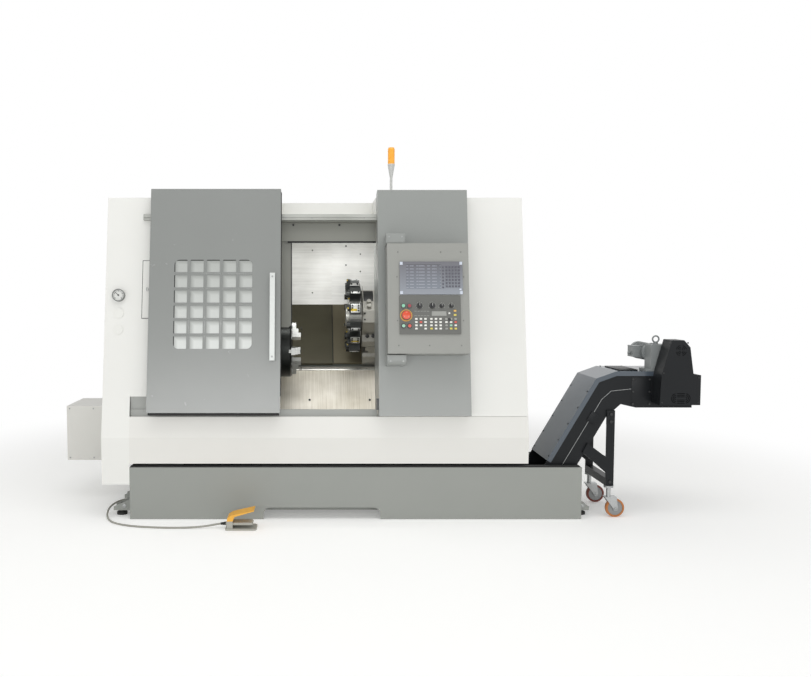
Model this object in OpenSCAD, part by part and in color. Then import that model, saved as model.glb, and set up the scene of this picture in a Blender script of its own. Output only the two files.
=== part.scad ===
// Slant-bed turning lathe with an enclosed work chamber, a swinging control box,
// a docked chip conveyor and a foot pedal on a cable.
// X runs along the spindle to the right, Y to the rear, Z up from the floor.
// Machine zero is under the middle of the enclosure at the apron's front face,
// and place() moves it to the middle of the footprint.

/* [Enclosure] */
// Width of the white enclosure
enc_w = 2700; // [2660:10:2800]
// Height of the flat roof above the floor
enc_top = 2055; // [2045:5:2100]
// Depth of the electrical cabinet and its door, behind the bed
cab_depth = 300; // [290:10:400]
// Height of the fold above which the front leans back
fold_z = 522; // [510:1:530]
// Lean of the front above the fold, in degrees
lean = 10; // [9:0.5:11]
// Thickness of the painted sheet
sheet = 3; // [2:0.5:4]
// Lower edge of the apron above the floor
apron_z = 358; // [345:1:380]
// Height up the leaning face of the apron's upper edge
sill_v = 133; // [120:1:140]
// Depth of the sill shelf behind the apron
sill_d = 90; // [80:1:100]
// Lower end of the pillar strip above the floor
pillar_z = 224; // [200:1:300]
// Lower edge of the left front panel up the leaning face
slot_v = 261; // [255:1:270]
// Left edge of the door opening
open_left = -230; // [-235:1:-225]
// Y of the step in the roof above the opening
roof_step_y = 600; // [560:5:680]

/* [Sliding door] */
// Left edge of the open door
door_x = -1052; // [-1070:1:-1040]
// Width of the door
door_w = 834; // [820:1:840]
// Lower edge of the door up the leaning face
door_v = 155; // [150:1:170]
// Height of the door along the leaning face
door_h = 1434; // [1400:1:1460]
// Depth of the folded door pan
door_d = 60; // [55:1:62]
// How far the door's face stands proud of the front panels
door_proud = 88.6; // [86:0.1:95]
// Side of the square window cells
cell_w = 83; // [70:1:90]
// Height of the window cells
cell_h = 80; // [70:1:88]
// Sideways pitch of the window cells
cell_px = 103; // [96:1:108]
// Upward pitch of the window cells
cell_pv = 98; // [92:1:100]
// Left edge of the first column of cells
cell_x = -893; // [-900:1:-880]
// Lower edge of the first row of cells up the leaning face
cell_v = 556; // [540:1:580]
// Length of the flat pull handle
handle_len = 554; // [400:1:600]
// Width of the flat pull handle
handle_w = 32; // [24:1:40]
// Lower edge of the top rail up the leaning face
rail_v = 1403; // [1400:1:1408]
// Height of the top rail
rail_h = 28; // [24:1:32]

/* [Operator column] */
// Left side of the column
col_x = 400; // [398:1:410]
// Width of the column
col_w = 575; // [565:1:600]
// Lower edge of the column up the leaning face
col_v = 136; // [134:1:145]
// Height of the column along the leaning face
col_h = 1446; // [1420:1:1460]
// How far the jamb reaches behind the leaning face
jamb_d = 250; // [200:1:280]
// Left edge of the control box
box_x = 446; // [444:1:450]
// Width of the control box
box_w = 502; // [490:1:520]
// Lower edge of the control box up the leaning face
box_v = 513; // [505:1:520]
// Height of the control box along the leaning face
box_h = 686; // [670:1:700]
// Thickness of the control box
box_t = 110; // [100:1:115]
// Gap between the column and the control box
box_gap = 33.4; // [30:0.1:40]
// Radius of the control box hinge pins
pin_r = 12; // [8:1:16]

/* [Spindle and turret] */
// Y of the spindle axis
spindle_y = 560; // [555:1:570]
// Height of the spindle axis
spindle_z = 1040; // [1030:1:1050]
// Slant of the bed in degrees
bed_slant = 45; // [44:0.5:46]
// Radius of the spindle in its bearings
spindle_r = 75; // [70:1:85]
// Radius of the bar passage through the spindle
bar_r = 33; // [25:1:40]
// Radius of the chuck body
chuck_r = 190; // [180:1:195]
// X of the chuck's front face
chuck_x = -160; // [-165:1:-155]
// Length of the chuck body
chuck_l = 123; // [115:1:130]
// Radius of the hole through the chuck
chuck_bore_r = 46; // [42:1:52]
// Width of a jaw
jaw_w = 46; // [40:1:50]
// Reach of the jaws in front of the chuck
jaw_h = 60; // [50:1:65]
// Distance of the way covers below the spindle axis, square to the slope
cover_n = 300; // [295:1:305]
// Distance of the bed face below the spindle axis, square to the slope
bed_n = 365; // [360:1:370]
// Left face of the turret disc
turret_x = 240; // [235:1:245]
// Thickness of the turret disc
turret_t = 85; // [75:1:88]
// Corner radius of the twelve-sided turret disc
turret_r = 190; // [170:1:195]
// Distance of the turret axis up the slope from the spindle axis
turret_u = 320; // [315:1:330]
// Reach of the tool holders from the turret axis
tool_r = 270; // [250:1:280]

/* [Coolant tank] */
// Left end of the tank
tank_left = -1175; // [-1200:1:-1170]
// Right end of the tank
tank_right = 1690; // [1680:1:1720]
// Height of the tank's front
tank_h = 333; // [320:1:340]
// Depth of the tank
tank_d = 490; // [480:1:520]
// Height of the tank's floor
tank_floor = 92; // [80:1:100]
// Plate thickness of the tank
tank_t = 6; // [4:1:8]
// Left side of the arch at the foot of the tank
arch_x = -327; // [-400:1:-250]
// Width of the arch
arch_w = 742; // [600:1:800]
// Height of the arch
arch_h = 76; // [60:1:78]

/* [Chip conveyor] */
// Front face of the conveyor casing
conv_y = 60; // [50:1:70]
// Width of the conveyor casing
conv_w = 360; // [340:1:380]
// Slope of the rising part in degrees
conv_rise = 60; // [58:0.5:61]
// Height of the conveyor head's top
conv_top = 935; // [920:1:960]
// Reach of the conveyor from the foot of its rise to the discharge end
conv_reach = 969; // [960:1:1020]
// Radius of the caster wheels
caster_r = 60; // [55:1:62]
// Trail of the caster wheels behind their swivel
caster_trail = 41; // [35:1:45]

/* [Hidden] */
$fn = 64;

white = "#e8e8e4";
grey = "#9fa29f";
tank_grey = "#999c97";
steel = "#c9c9c5";
dark_iron = "#3f4140";
black = "#17191a";
yellow = "#e9b23c";

// Clearance between flat running faces, round a turning shaft, and at a machined seat
gap = 0.5;
fit = 0.05;
seat = 0.05;

half_w = enc_w / 2;
bed_back = 1430;
cab_y = bed_back + 20;
enc_depth = cab_y + cab_depth;
rise_x = 1431;
conv_end = rise_x + conv_reach;
pillar_x = tank_left;
top_v = (enc_top - fold_z) / cos(lean);
col_right = col_x + col_w;

// Control box on its two pins: depths are measured behind the leaning face
col_face = -door_proud;
box_back = col_face - box_gap;
box_face = box_back - box_t;
box_top = box_v + box_h;
pin_x = box_x + 49;
pin_w = box_back - box_t / 2;
pin_len = 22;
hinge_gap = 4;
hinge_top_h = 63;
hinge_low_h = 63;

// Lamp, gauge and cover sizes
beacon_x = 518;
beacon_y = 500;
beacon_r = 24;
motor_w = 370;
motor_y = 500;
motor_d = 400;
motor_z = 273;
motor_h = 378;

// Footprint used to centre the model
left_end = -half_w - motor_w;
front_end = box_face * cos(lean) + box_v * sin(lean);
mid_x = (left_end + conv_end) / 2;
mid_y = (front_end + enc_depth) / 2;

// Travel limits that the covers are cut for
z_left = 200;
z_right = 150;
guard_left = -297;
guard_right = half_w - 63;
saddle_x = turret_x + turret_t + 20;
saddle_w = 345;
saddle_right = saddle_x + saddle_w;
cover_lap = 20;
cover_gap = 3;
cover_t = 3;
cover_u0 = 124;
cover_u1 = 718;
cover_top = 1830;
cover_lip = 22;
fixed_left_end = saddle_x - z_left - 15;
fixed_right_end = saddle_right + z_right + 10;

// Slope and leaning face as points in the Y-Z plane
function slope(u, n) = [spindle_y + u * cos(bed_slant) - n * sin(bed_slant),
    spindle_z + u * sin(bed_slant) + n * cos(bed_slant)];
function front(v, w = 0) = [w * cos(lean) + v * sin(lean), fold_z + v * cos(lean) - w * sin(lean)];
function front_y(z, w = 0) = (z - fold_z) * tan(lean) + w / cos(lean);

// Open paths moved sideways with mitred corners, and closed into a sheet's section
function unit(a) = a / norm(a);
function left_of(a) = [-a[1], a[0]];
function side_of(p, i) = left_of(unit(p[i + 1] - p[i]));
function mitre(p, i) = i == 0 ? side_of(p, 0) : i == len(p) - 1 ? side_of(p, i - 1)
    : (side_of(p, i - 1) + side_of(p, i)) / (1 + side_of(p, i - 1) * side_of(p, i));
function shifted(p, d) = [for (i = [0 : len(p) - 1]) p[i] + d * mitre(p, i)];
function reversed(p) = [for (i = [len(p) - 1 : -1 : 0]) p[i]];
function strip(p, d0, d1) = concat(shifted(p, d0), reversed(shifted(p, d1)));

// Rectangle with its own radius at each corner, from the lower left one on
function corner(c, r, a0) = r <= 0 ? [c]
    : [for (k = [0 : 6]) c + r * [cos(a0 + 15 * k), sin(a0 + 15 * k)]];
function round_box(x0, y0, x1, y1, r) = concat(
    corner([x0 + r[0], y0 + r[0]], r[0], 180), corner([x1 - r[1], y0 + r[1]], r[1], 270),
    corner([x1 - r[2], y1 - r[2]], r[2], 0), corner([x0 + r[3], y1 - r[3]], r[3], 90));

module piece(c) {
    color(c) translate([-mid_x, -mid_y, 0]) children();
}
module on_front() {
    translate([0, 0, fold_z]) rotate([-lean, 0, 0]) children();
}
module on_slope() {
    translate([0, spindle_y, spindle_z]) rotate([bed_slant, 0, 0]) children();
}
module along_x(x0, x1) {
    translate([x0, 0, 0]) rotate([90, 0, 90]) linear_extrude(x1 - x0) children();
}
module along_y(y0, y1) {
    translate([0, y1, 0]) rotate([90, 0, 0]) linear_extrude(y1 - y0) children();
}
module block(x, y, z) {
    translate([x[0], y[0], z[0]]) cube([x[1] - x[0], y[1] - y[0], z[1] - z[0]]);
}
// Round bar along the depth of the leaning face
module stud(x, v, w0, w1, r) {
    translate([x, w1, v]) rotate([90, 0, 0]) cylinder(h = w1 - w0, r = r);
}
// Bar of round section along X through a point of the Y-Z plane
module rod_x(p, x0, x1, r) {
    translate([x0, p[0], p[1]]) rotate([0, 90, 0]) cylinder(h = x1 - x0, r = r);
}

// Tank with the arched front, floor, walls, runner and four foot brackets
foot_h = 34;
foot_plate = 10;
foot_half = 42;
left_reach = 126;
right_reach = 80;
foot_in = 46;
tank_feet_y = [130, 430];
gland = [tank_left - 24, 240, 70];
gland_r = 13;

module foot_bracket(x, side, reach, y) {
    end = x + side * reach;
    for (y0 = [y - foot_half, y + foot_half - tank_t])
        along_y(y0, y0 + tank_t)
            polygon([[x, foot_h], [end, foot_h], [end, foot_h + 24], [x, foot_h + 80]]);
    difference() {
        block([min(x, end), max(x, end)], [y - foot_half, y + foot_half], [foot_h, foot_h + foot_plate]);
        translate([end - side * foot_in, y, 0]) cylinder(h = 200, r = screw_r + 0.4);
    }
}
module coolant_tank() {
    arch = round_box(arch_x, -50, arch_x + arch_w, arch_h, [0, 0, 45, 45]);
    piece(tank_grey) {
        along_y(0, tank_t) difference() {
            translate([tank_left, 0]) square([tank_right - tank_left, tank_h]);
            polygon(arch);
        }
        block([tank_left, tank_right], [tank_t, 46], [tank_h - tank_t, tank_h]);
        block([tank_left, tank_right], [tank_t, tank_d], [tank_floor, tank_floor + tank_t]);
        block([tank_left, tank_right], [tank_d - tank_t, tank_d], [tank_floor, tank_h]);
        for (x = [tank_left, tank_right - tank_t])
            block([x, x + tank_t], [tank_t, tank_d], [foot_h, tank_h]);
        block([tank_left, tank_right], [150, 150 + tank_t], [20, tank_floor]);
        rod_x([gland[1], gland[2]], gland[0], tank_left + tank_t / 2, gland_r);
        for (y = tank_feet_y) {
            foot_bracket(tank_left, -1, left_reach, y);
            foot_bracket(tank_right, 1, right_reach, y);
        }
    }
}

// Screw feet: four on the tank's brackets and six pads under the bed
screw_r = 10;
bed_left = -1150;
bed_right = 1270;
bed_front = tank_d + 50;
bed_foot = 40;
bed_pads = [for (x = [bed_left + 50, (bed_left + bed_right) / 2, bed_right - 50])
    for (y = [bed_front + 50, bed_back - 50]) [x, y]];

module levelling_feet() {
    tank_feet = [for (y = tank_feet_y)
        for (x = [tank_left - left_reach + foot_in, tank_right + right_reach - foot_in]) [x, y]];
    piece(black) {
        for (p = tank_feet) translate(p) {
            cylinder(h = 16, r = 34);
            cylinder(h = foot_h, r = 24);
            cylinder(h = foot_h + foot_plate + 30, r = screw_r);
            translate([0, 0, foot_h + foot_plate]) cylinder(h = 16, r = 18, $fn = 6);
        }
        for (p = bed_pads) translate(p) {
            cylinder(h = 22, r = 70);
            cylinder(h = bed_foot, r = 45);
        }
    }
}

// Cast bed: a wedge with two raised box ways along the slope
bed_wall = 45;
bed_bays = 4;
way_h = 25;
ways_u = [150, 600];
way_w = 60;

module slant_bed() {
    top = slope((bed_front - spindle_y) / cos(bed_slant) - bed_n * tan(bed_slant), -bed_n);
    crest = slope(740, -bed_n);
    outline = [[bed_front, bed_foot], [bed_back, bed_foot], [bed_back, crest[1]], crest, top];
    core = [for (p = shifted_loop(outline, bed_wall)) [p[0], p[1] < bed_foot + 2 * bed_wall ? bed_foot - 1 : p[1]]];
    bay = (bed_right - bed_left - bed_wall) / bed_bays;
    piece(tank_grey) {
        difference() {
            along_x(bed_left, bed_right) polygon(outline);
            for (k = [0 : bed_bays - 1])
                along_x(bed_left + bed_wall + k * bay, bed_left + (k + 1) * bay) polygon(core);
        }
        on_slope() for (u = ways_u)
            block([guard_left, bed_right], [u, u + way_w], [-bed_n, -bed_n + way_h]);
    }
}

// Headstock casting on the slope with the spindle bore and front bearing cap
head_left = -1000;
head_right = -320;
cap_t = 8;
nose_x = chuck_x - chuck_l;

module headstock() {
    piece("#8f948f") difference() {
        union() {
            on_slope() along_x(head_left, head_right)
                polygon([[-190, -bed_n + seat], [330, -bed_n + seat], [330, 100], [255, 175], [-110, 175], [-190, 95]]);
            rod_x([spindle_y, spindle_z], head_right - 20, head_right + cap_t, spindle_r + 55);
        }
        rod_x([spindle_y, spindle_z], head_left - 1, head_right + cap_t + 1, spindle_r + fit);
    }
}

// Spindle with its nose flange, the rear actuating cylinder and the bar passage
nose_r = 105;
cylinder_x = -1230;

module spindle() {
    piece("#b5b8b6") translate([0, spindle_y, spindle_z]) rotate([90, 0, 90]) rotate_extrude()
        polygon([[bar_r, cylinder_x], [95, cylinder_x], [95, cylinder_x + 40], [125, cylinder_x + 50],
            [125, cylinder_x + 170], [90, head_left - 40], [spindle_r, head_left - 40],
            [spindle_r, head_right + cap_t + 2], [nose_r, head_right + cap_t + 2], [nose_r, nose_x],
            [bar_r, nose_x]]);
}

// Three-jaw power chuck: jaw one faces the operator, the others stand 120 degrees round
jaw_in = 85;
jaw_out = 196;
tongue_w = 22;
tongue_d = 16;

module round_spindle(k) {
    translate([0, spindle_y, spindle_z]) rotate([180 + 120 * k, 0, 0]) children();
}
module chuck_body() {
    piece(dark_iron) difference() {
        translate([0, spindle_y, spindle_z]) rotate([90, 0, 90]) rotate_extrude()
            polygon([[chuck_bore_r, nose_x], [chuck_r - 8, nose_x], [chuck_r, nose_x + 8],
                [chuck_r, chuck_x - 10], [chuck_r - 10, chuck_x], [chuck_bore_r, chuck_x]]);
        for (k = [0 : 2]) round_spindle(k) {
            block([chuck_x - tongue_d - gap, chuck_x + 1], [jaw_in - 15, chuck_r + 1],
                [-tongue_w / 2 - gap / 2, tongue_w / 2 + gap / 2]);
        }
    }
}
module jaw(k) {
    piece("#5d605f") round_spindle(k) {
        along = [[jaw_in, chuck_x], [jaw_out, chuck_x], [jaw_out, chuck_x + jaw_h * 0.45],
            [jaw_in + 66, chuck_x + jaw_h * 0.45], [jaw_in + 66, chuck_x + jaw_h * 0.72],
            [jaw_in + 34, chuck_x + jaw_h * 0.72], [jaw_in + 34, chuck_x + jaw_h], [jaw_in, chuck_x + jaw_h]];
        translate([0, 0, -jaw_w / 2]) linear_extrude(jaw_w) polygon([for (p = along) [p[1], p[0]]]);
        block([chuck_x - tongue_d, chuck_x], [jaw_in, chuck_r - 8], [-tongue_w / 2, tongue_w / 2]);
    }
}
module jaw_1() { jaw(0); }
module jaw_2() { jaw(1); }
module jaw_3() { jaw(2); }

// Sheet box over the spindle motor at the left end
module motor_cover() {
    piece("#cfcec9") difference() {
        block([left_end, -half_w], [motor_y, motor_y + motor_d], [motor_z, motor_z + motor_h]);
        block([left_end + sheet, -half_w + 1], [motor_y + sheet, motor_y + motor_d - sheet],
            [motor_z + sheet, motor_z + motor_h - sheet]);
        for (k = [0 : 5])
            block([left_end - 1, left_end + sheet + 1], [motor_y + 90, motor_y + motor_d - 90],
                [motor_z + 120 + 26 * k, motor_z + 130 + 26 * k]);
    }
}

// Left front: one folded sheet that carries on down as the pillar strip
hatch_x = -1110;
hatch_v = 764;
hatch_w = 520;
hatch_h = 372;
hatch_t = 4;

module left_front_panel() {
    piece(white) {
        difference() {
            along_x(-half_w, open_left) polygon(strip([[0, pillar_z], [0, fold_z], front(top_v)], 0, -sheet));
            along_x(pillar_x, open_left + 1)
                polygon([[-90, pillar_z - 1], [90, pillar_z - 1], front(slot_v, 40), front(slot_v, -40)]);
        }
        on_front() {
            block([open_left - sheet, open_left], [sheet / 2, 60], [slot_v + 1, top_v - 12]);
            block([hatch_x, hatch_x + hatch_w], [-hatch_t, sheet / 2], [hatch_v, hatch_v + hatch_h]);
            stud(hatch_x + 22, hatch_v + hatch_h / 2, -hatch_t - 5, -hatch_t / 2, 13);
        }
    }
}

// Right front panel, running on behind the operator column
module right_front_panel() {
    piece(white) on_front() {
        block([col_x + 25, half_w], [0, sheet], [sill_v + 2, top_v]);
        block([half_w - sheet, half_w], [sheet, 40], [sill_v + 14, top_v - 8]);
    }
}

// Apron: hem, vertical face, leaning band, sill shelf and the drop into the tank
apron_drop = 470;

module front_apron() {
    shelf = front(sill_v);
    path = [[30, apron_z], [0, apron_z], [0, fold_z], shelf, [shelf[0] + sill_d, shelf[1]],
        [shelf[0] + sill_d, apron_drop]];
    piece("#e2e1dd") along_x(pillar_x, half_w) polygon(strip(path, 0, -sheet));
}

// Side panels with the bar port in line with the spindle on the left one
port_r = 60;

module side_sheet(x) {
    low = apron_z + 2 * sheet;
    along_x(x, x + sheet)
        polygon([[sheet + gap, low], [sheet + gap, fold_z], [front_y(enc_top - sheet, sheet) + gap, enc_top - sheet],
            [enc_depth - sheet, enc_top - sheet], [enc_depth - sheet, low]]);
}
module side_panels() {
    piece(white) {
        difference() {
            side_sheet(-half_w);
            rod_x([spindle_y, spindle_z], -half_w - 1, -half_w + sheet + 1, port_r);
        }
        difference() {
            side_sheet(half_w - sheet);
            on_front() block([half_w - sheet - 1, half_w + 1], [0, 40 + gap], [0, top_v]);
            block([half_w - sheet - 1, half_w + 1], [0, front(sill_v)[0] + sill_d + gap], [0, front(sill_v)[1] + gap]);
        }
    }
}

// Rear sheet beside the electrical cabinet
cab_left = 143;
door_gap = 3;
cab_door_t = 28;
cab_rails = [560, 1100];

module rear_panel() {
    piece(white) {
        block([-half_w, cab_left - door_gap], [enc_depth - sheet, enc_depth], [apron_z + 2 * sheet, enc_top - sheet]);
        block([cab_left - door_gap - sheet, cab_left - door_gap], [enc_depth - 40, enc_depth - sheet],
            [apron_z + 2 * sheet, enc_top - sheet]);
    }
}

// Roof sheet with a step down over the opening
step_v = 1445;

module roof_panel() {
    edge = front_y(enc_top, sheet);
    low = front(step_v, 8);
    step = [low, [roof_step_y, low[1]], [roof_step_y, enc_top]];
    piece(white) {
        difference() {
            block([-half_w, half_w], [edge, enc_depth], [enc_top - sheet, enc_top]);
            block([open_left + sheet, col_x - sheet], [0, roof_step_y], [0, enc_top + 1]);
        }
        along_x(open_left, col_x) polygon(strip(step, 0, -sheet));
        for (x = [open_left, col_x - sheet])
            along_x(x, x + sheet) polygon([low, [roof_step_y, low[1]], [roof_step_y, enc_top - sheet / 2],
                [front_y(enc_top - sheet / 2, 8), enc_top - sheet / 2]]);
    }
}

// Header across the opening, folded back below the rail
header_v = 1276;
header_d = 40;

module header_beam() {
    path = [front(header_v, header_d) + [70, 20], front(header_v, header_d), front(rail_v - 6, header_d),
        front(rail_v - 6, 0), front(step_v - 2, 0)];
    piece("#8d8e87") along_x(open_left, col_x) polygon(strip(path, 0, -sheet));
}

// Top rail: a bar with a raised lip that the hangers hook over
rail_d = 22;
lip_h = 10;
lip_t = 6;
rail_top = rail_v + rail_h;

module door_rail() {
    piece("#bfc0bb") on_front() difference() {
        union() {
            block([door_x - 60, col_x], [-rail_d, -fit], [rail_v, rail_top]);
            block([door_x - 60, col_x], [-rail_d, -rail_d + lip_t], [rail_top, rail_top + lip_h]);
        }
        block([door_x - 61, col_x + 1], [-rail_d - 1, -rail_d + 5], [rail_v + 9, rail_v + 17]);
    }
}

// Lower track on the sill, with the grey sheet that closes the slot beside the door
track_y = 42;
track_t = 8;
track_h = 44;

module door_sill() {
    z = front(sill_v)[1];
    meet = fold_z + (track_y + track_t - sheet / cos(lean)) / tan(lean);
    piece("#a6a8a4") {
        block([pillar_x + 2, col_x - 4], [track_y, track_y + track_t], [z, z + track_h]);
        block([pillar_x + 2, open_left - sheet - 1], [track_y + track_t, track_y + track_t + sheet],
            [z, meet - 2]);
        block([pillar_x + 2, col_x - 4], [track_y, track_y + 40], [z, z + sheet]);
    }
}

// Operator column: folded front with a deep jamb on its left and two hinge blocks
stop_w = 17;

module console_column() {
    low = front(col_v)[1];
    piece(grey) {
        along_x(col_x, col_x + sheet) polygon([[front_y(low, 2), low], [front_y(low, jamb_d), low],
            front(header_v - 20, jamb_d), front(header_v - 20, 2)]);
        column_front();
    }
}
module column_front() {
    on_front() {
        block([col_x, col_right], [col_face, col_face + sheet], [col_v, col_v + col_h]);
        block([col_right - sheet, col_right], [col_face, 0], [col_v, col_v + col_h]);
        block([col_x, col_x + sheet], [col_face, 6], [col_v, header_v - 60]);
        block([col_x, col_x + sheet], [col_face, 0], [col_v, col_v + col_h]);
        for (v = [col_v, col_v + col_h - sheet])
            block([col_x, col_right], [col_face, 0], [v, v + sheet]);
        block([col_x - stop_w, col_x], [col_face + 14, col_face + 64], [col_v + 40, col_v + 110]);
        hinge_block(box_top + hinge_gap, box_top + hinge_gap + hinge_top_h, 6);
        hinge_block(box_v - hinge_gap - hinge_low_h, box_v - hinge_gap, 34);
        stud_v(pin_x, pin_w, box_top - pin_len, box_top + hinge_gap + 5, pin_r);
        stud_v(pin_x, pin_w, box_v - hinge_gap - 5, box_v + pin_len, pin_r);
    }
}
module stud_v(x, w, v0, v1, r) {
    translate([x, w, v0]) cylinder(h = v1 - v0, r = r);
}
module hinge_block(v0, v1, r) {
    along_x(box_x - 3, box_x + 112)
        polygon(round_box(pin_w - 40, v0, col_face, v1, [r, 0, 0, 6]));
}

// Control box: a folded shell with its pin holes, carried on the column's pins
shell = 3;

module control_box() {
    piece("#a6a7a5") on_front() difference() {
        block([box_x, box_x + box_w], [box_face, box_back], [box_v, box_top]);
        block([box_x + shell, box_x + box_w - shell], [box_face + shell, box_back - shell],
            [box_v + shell, box_top - shell]);
        for (v = [box_v - 1, box_top - pin_len - 5])
            stud_v(pin_x, pin_w, v, v + pin_len + 6, pin_r + fit);
    }
}

// Screen unit with a sunk screen, a soft-key column and a block of keys
lcd_x = 521;
lcd_w = 387;
lcd_v = 877;
lcd_h = 205;
lcd_t = 10;

module lcd_unit() {
    screen = [lcd_x + 40, lcd_v + 36];
    keys_x = lcd_x + 280;
    keys_v = lcd_v + 42;
    piece("#2b2d30") on_front() {
        difference() {
            along_y(box_face - lcd_t, box_face)
                polygon(round_box(lcd_x, lcd_v, lcd_x + lcd_w, lcd_v + lcd_h, [6, 6, 6, 6]));
            block([screen[0], screen[0] + 214], [box_face - lcd_t - 1, box_face - lcd_t + 3],
                [screen[1], screen[1] + 150]);
        }
        for (i = [0 : 4]) for (j = [0 : 6])
            block([keys_x + 19 * i, keys_x + 19 * i + 15], [box_face - lcd_t - 2, box_face - lcd_t],
                [keys_v + 20 * j, keys_v + 20 * j + 15]);
        for (j = [0 : 6])
            block([screen[0] + 220, screen[0] + 232], [box_face - lcd_t - 2, box_face - lcd_t],
                [screen[1] + 21 * j, screen[1] + 21 * j + 14]);
    }
}

// Key panel: three blocks of keys, a small display, bezels and the stop's collar
op_x = 517;
op_w = 376;
op_v = 631;
op_h = 240;
op_t = 8;
op_face = box_face - op_t;
knobs = [[640, 806, 17], [718, 806, 17], [776, 806, 13], [835, 806, 13]];
buttons = [[541, 806], [578, 806]];
lamps = [[541, 682], [578, 682]];
stop_at = [558, 747];
bezel_r = 14;
bezel_h = 5;
button_r = 10;
collar_r = 31;
collar_h = 7;
stop_stem_r = 12;
shaft_r = 4;
press = 4;

module operator_panel() {
    piece("#3a3d40") on_front() difference() {
        union() {
            along_y(op_face, box_face)
                polygon(round_box(op_x, op_v, op_x + op_w, op_v + op_h, [5, 5, 5, 5]));
            for (p = buttons) stud(p[0], p[1], op_face - bezel_h, op_face, bezel_r);
            for (p = lamps) stud(p[0], p[1], op_face - bezel_h - 3, op_face, bezel_r - 2);
            stud(stop_at[0], stop_at[1], op_face - collar_h, op_face, collar_r);
            for (g = [0 : 2]) for (i = [0 : 2]) for (j = [0 : 3])
                block([611 + 92 * g + 28 * i, 628 + 92 * g + 28 * i], [op_face - 2, op_face],
                    [659 + 20 * j, 672 + 20 * j]);
            for (j = [0 : 1])
                block([848, 866], [op_face - 2, op_face], [743 + 26 * j, 756 + 26 * j]);
        }
        block([714, 806], [op_face - 1, op_face + 2], [744, 774]);
        for (p = buttons) stud(p[0], p[1], op_face - bezel_h - 1, box_face - 1, button_r + 0.3);
        for (p = knobs) stud(p[0], p[1], op_face - 1, box_face - 1, shaft_r + fit);
        stud(stop_at[0], stop_at[1], op_face - collar_h - 1, box_face - 1, stop_stem_r + 0.3);
    }
}

// Mushroom stop, turning knobs and push buttons
module e_stop() {
    stem_end = box_face - 1 - press - 1;
    piece("#d8402c") on_front() translate([stop_at[0], stem_end, stop_at[1]]) rotate([90, 0, 0]) rotate_extrude()
        polygon([[0, 0], [stop_stem_r, 0], [stop_stem_r, stem_end - op_face + collar_h + press + 1],
            [27, stem_end - op_face + collar_h + press + 1], [27, stem_end - op_face + collar_h + press + 6],
            [24, stem_end - op_face + collar_h + press + 12], [0, stem_end - op_face + collar_h + press + 15]]);
}
module knob(i) {
    p = knobs[i];
    piece(black) on_front() {
        stud(p[0], p[1], op_face - 3, box_face - 2, shaft_r);
        stud(p[0], p[1], op_face - 8, op_face - gap, p[2]);
        block([p[0] - 4, p[0] + 4], [op_face - 20, op_face - 8], [p[1] - p[2] + 2, p[1] + p[2] - 2]);
    }
}
module knob_1() { knob(0); }
module knob_2() { knob(1); }
module knob_3() { knob(2); }
module knob_4() { knob(3); }
module push_button(i, c) {
    p = buttons[i];
    piece(c) on_front() stud(p[0], p[1], op_face - bezel_h - press - 1, box_face - 1 - press - 0.5, button_r);
}
module cycle_button() { push_button(0, "#2f9a4e"); }
module hold_button() { push_button(1, "#c33a2c"); }

// Sheet walls at both ends of the work chamber
wall_top = 1900;

module end_sheet(x) {
    along_x(x, x + sheet) polygon([front(sill_v, 70) + [sill_d, 0], slope(-520, -cover_n - 20),
        slope(cover_u0 - 8, -bed_n + seat), slope(cover_u1 + 40, -bed_n + seat),
        [slope(cover_u1, -cover_n)[0] + 30, wall_top], [front_y(wall_top, 70), wall_top]]);
}
module end_guards() {
    piece(steel) {
        difference() {
            end_sheet(guard_left - sheet);
            rod_x([spindle_y, spindle_z], guard_left - sheet - 1, guard_left + 1, nose_r + 8);
        }
        end_sheet(guard_right);
    }
}

// Grey sheet that hides the chuck's upper half behind the door's edge
jamb_y = 300;
jamb_right = -152;

module jamb_guard() {
    piece("#8d8f8a") {
        along_y(jamb_y, jamb_y + sheet)
            polygon([[guard_left, 1206], [jamb_right - 24, 1206], [jamb_right, 1230], [jamb_right, 1775],
                [guard_left, 1775]]);
        block([guard_left, guard_left + sheet], [jamb_y + sheet, jamb_y + 40], [1206, 1775]);
    }
}

// Bright sheet below the way covers, sloping down to the tank
module lower_guard() {
    piece("#ddd8ca") {
        on_slope() block([guard_left, guard_right], [-514, 112], [-cover_n - 33, -cover_n - 30]);
    }
}

// Telescopic way covers: an inclined apron and an upright back in one folded sheet
cover_path = [slope(cover_u0, -cover_n - cover_lip), slope(cover_u0, -cover_n), slope(cover_u1, -cover_n),
    [slope(cover_u1, -cover_n)[0], cover_top]];

module way_covers() {
    piece(steel) for (x = [[guard_left, fixed_left_end], [fixed_right_end, guard_right]])
        along_x(x[0], x[1]) polygon(strip(cover_path, 0, -cover_t));
}
module saddle_covers() {
    d0 = -cover_t - cover_gap;
    wing_left = fixed_left_end - cover_lap - z_right;
    wing_right = fixed_right_end + cover_lap + z_left;
    upright = [cover_path[2] + [0, 60], cover_path[3]];
    piece(steel) {
        along_x(wing_left, saddle_x) polygon(strip(cover_path, d0, d0 - cover_t));
        along_x(saddle_right, wing_right) polygon(strip(cover_path, d0, d0 - cover_t));
        along_x(saddle_x, saddle_right) polygon(strip(upright, d0, d0 - cover_t));
    }
}

// Saddle on the ways, with two dovetail bars up the slope
slide_rails_x = [40, 255];
slide_rail_w = 50;
saddle_top = -215;
slide_n = -195;

module saddle() {
    piece("#6d716f") on_slope() {
        along_x(saddle_x, saddle_right)
            polygon([[130, -bed_n + way_h + seat], [690, -bed_n + way_h + seat], [690, saddle_top], [150, saddle_top],
                [130, saddle_top - 20]]);
        for (x = slide_rails_x)
            block([saddle_x + x, saddle_x + x + slide_rail_w], [150, 690], [saddle_top, slide_n]);
    }
}

// Cross slide with the turret housing, its stepped guard and two coolant knobs

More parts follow.
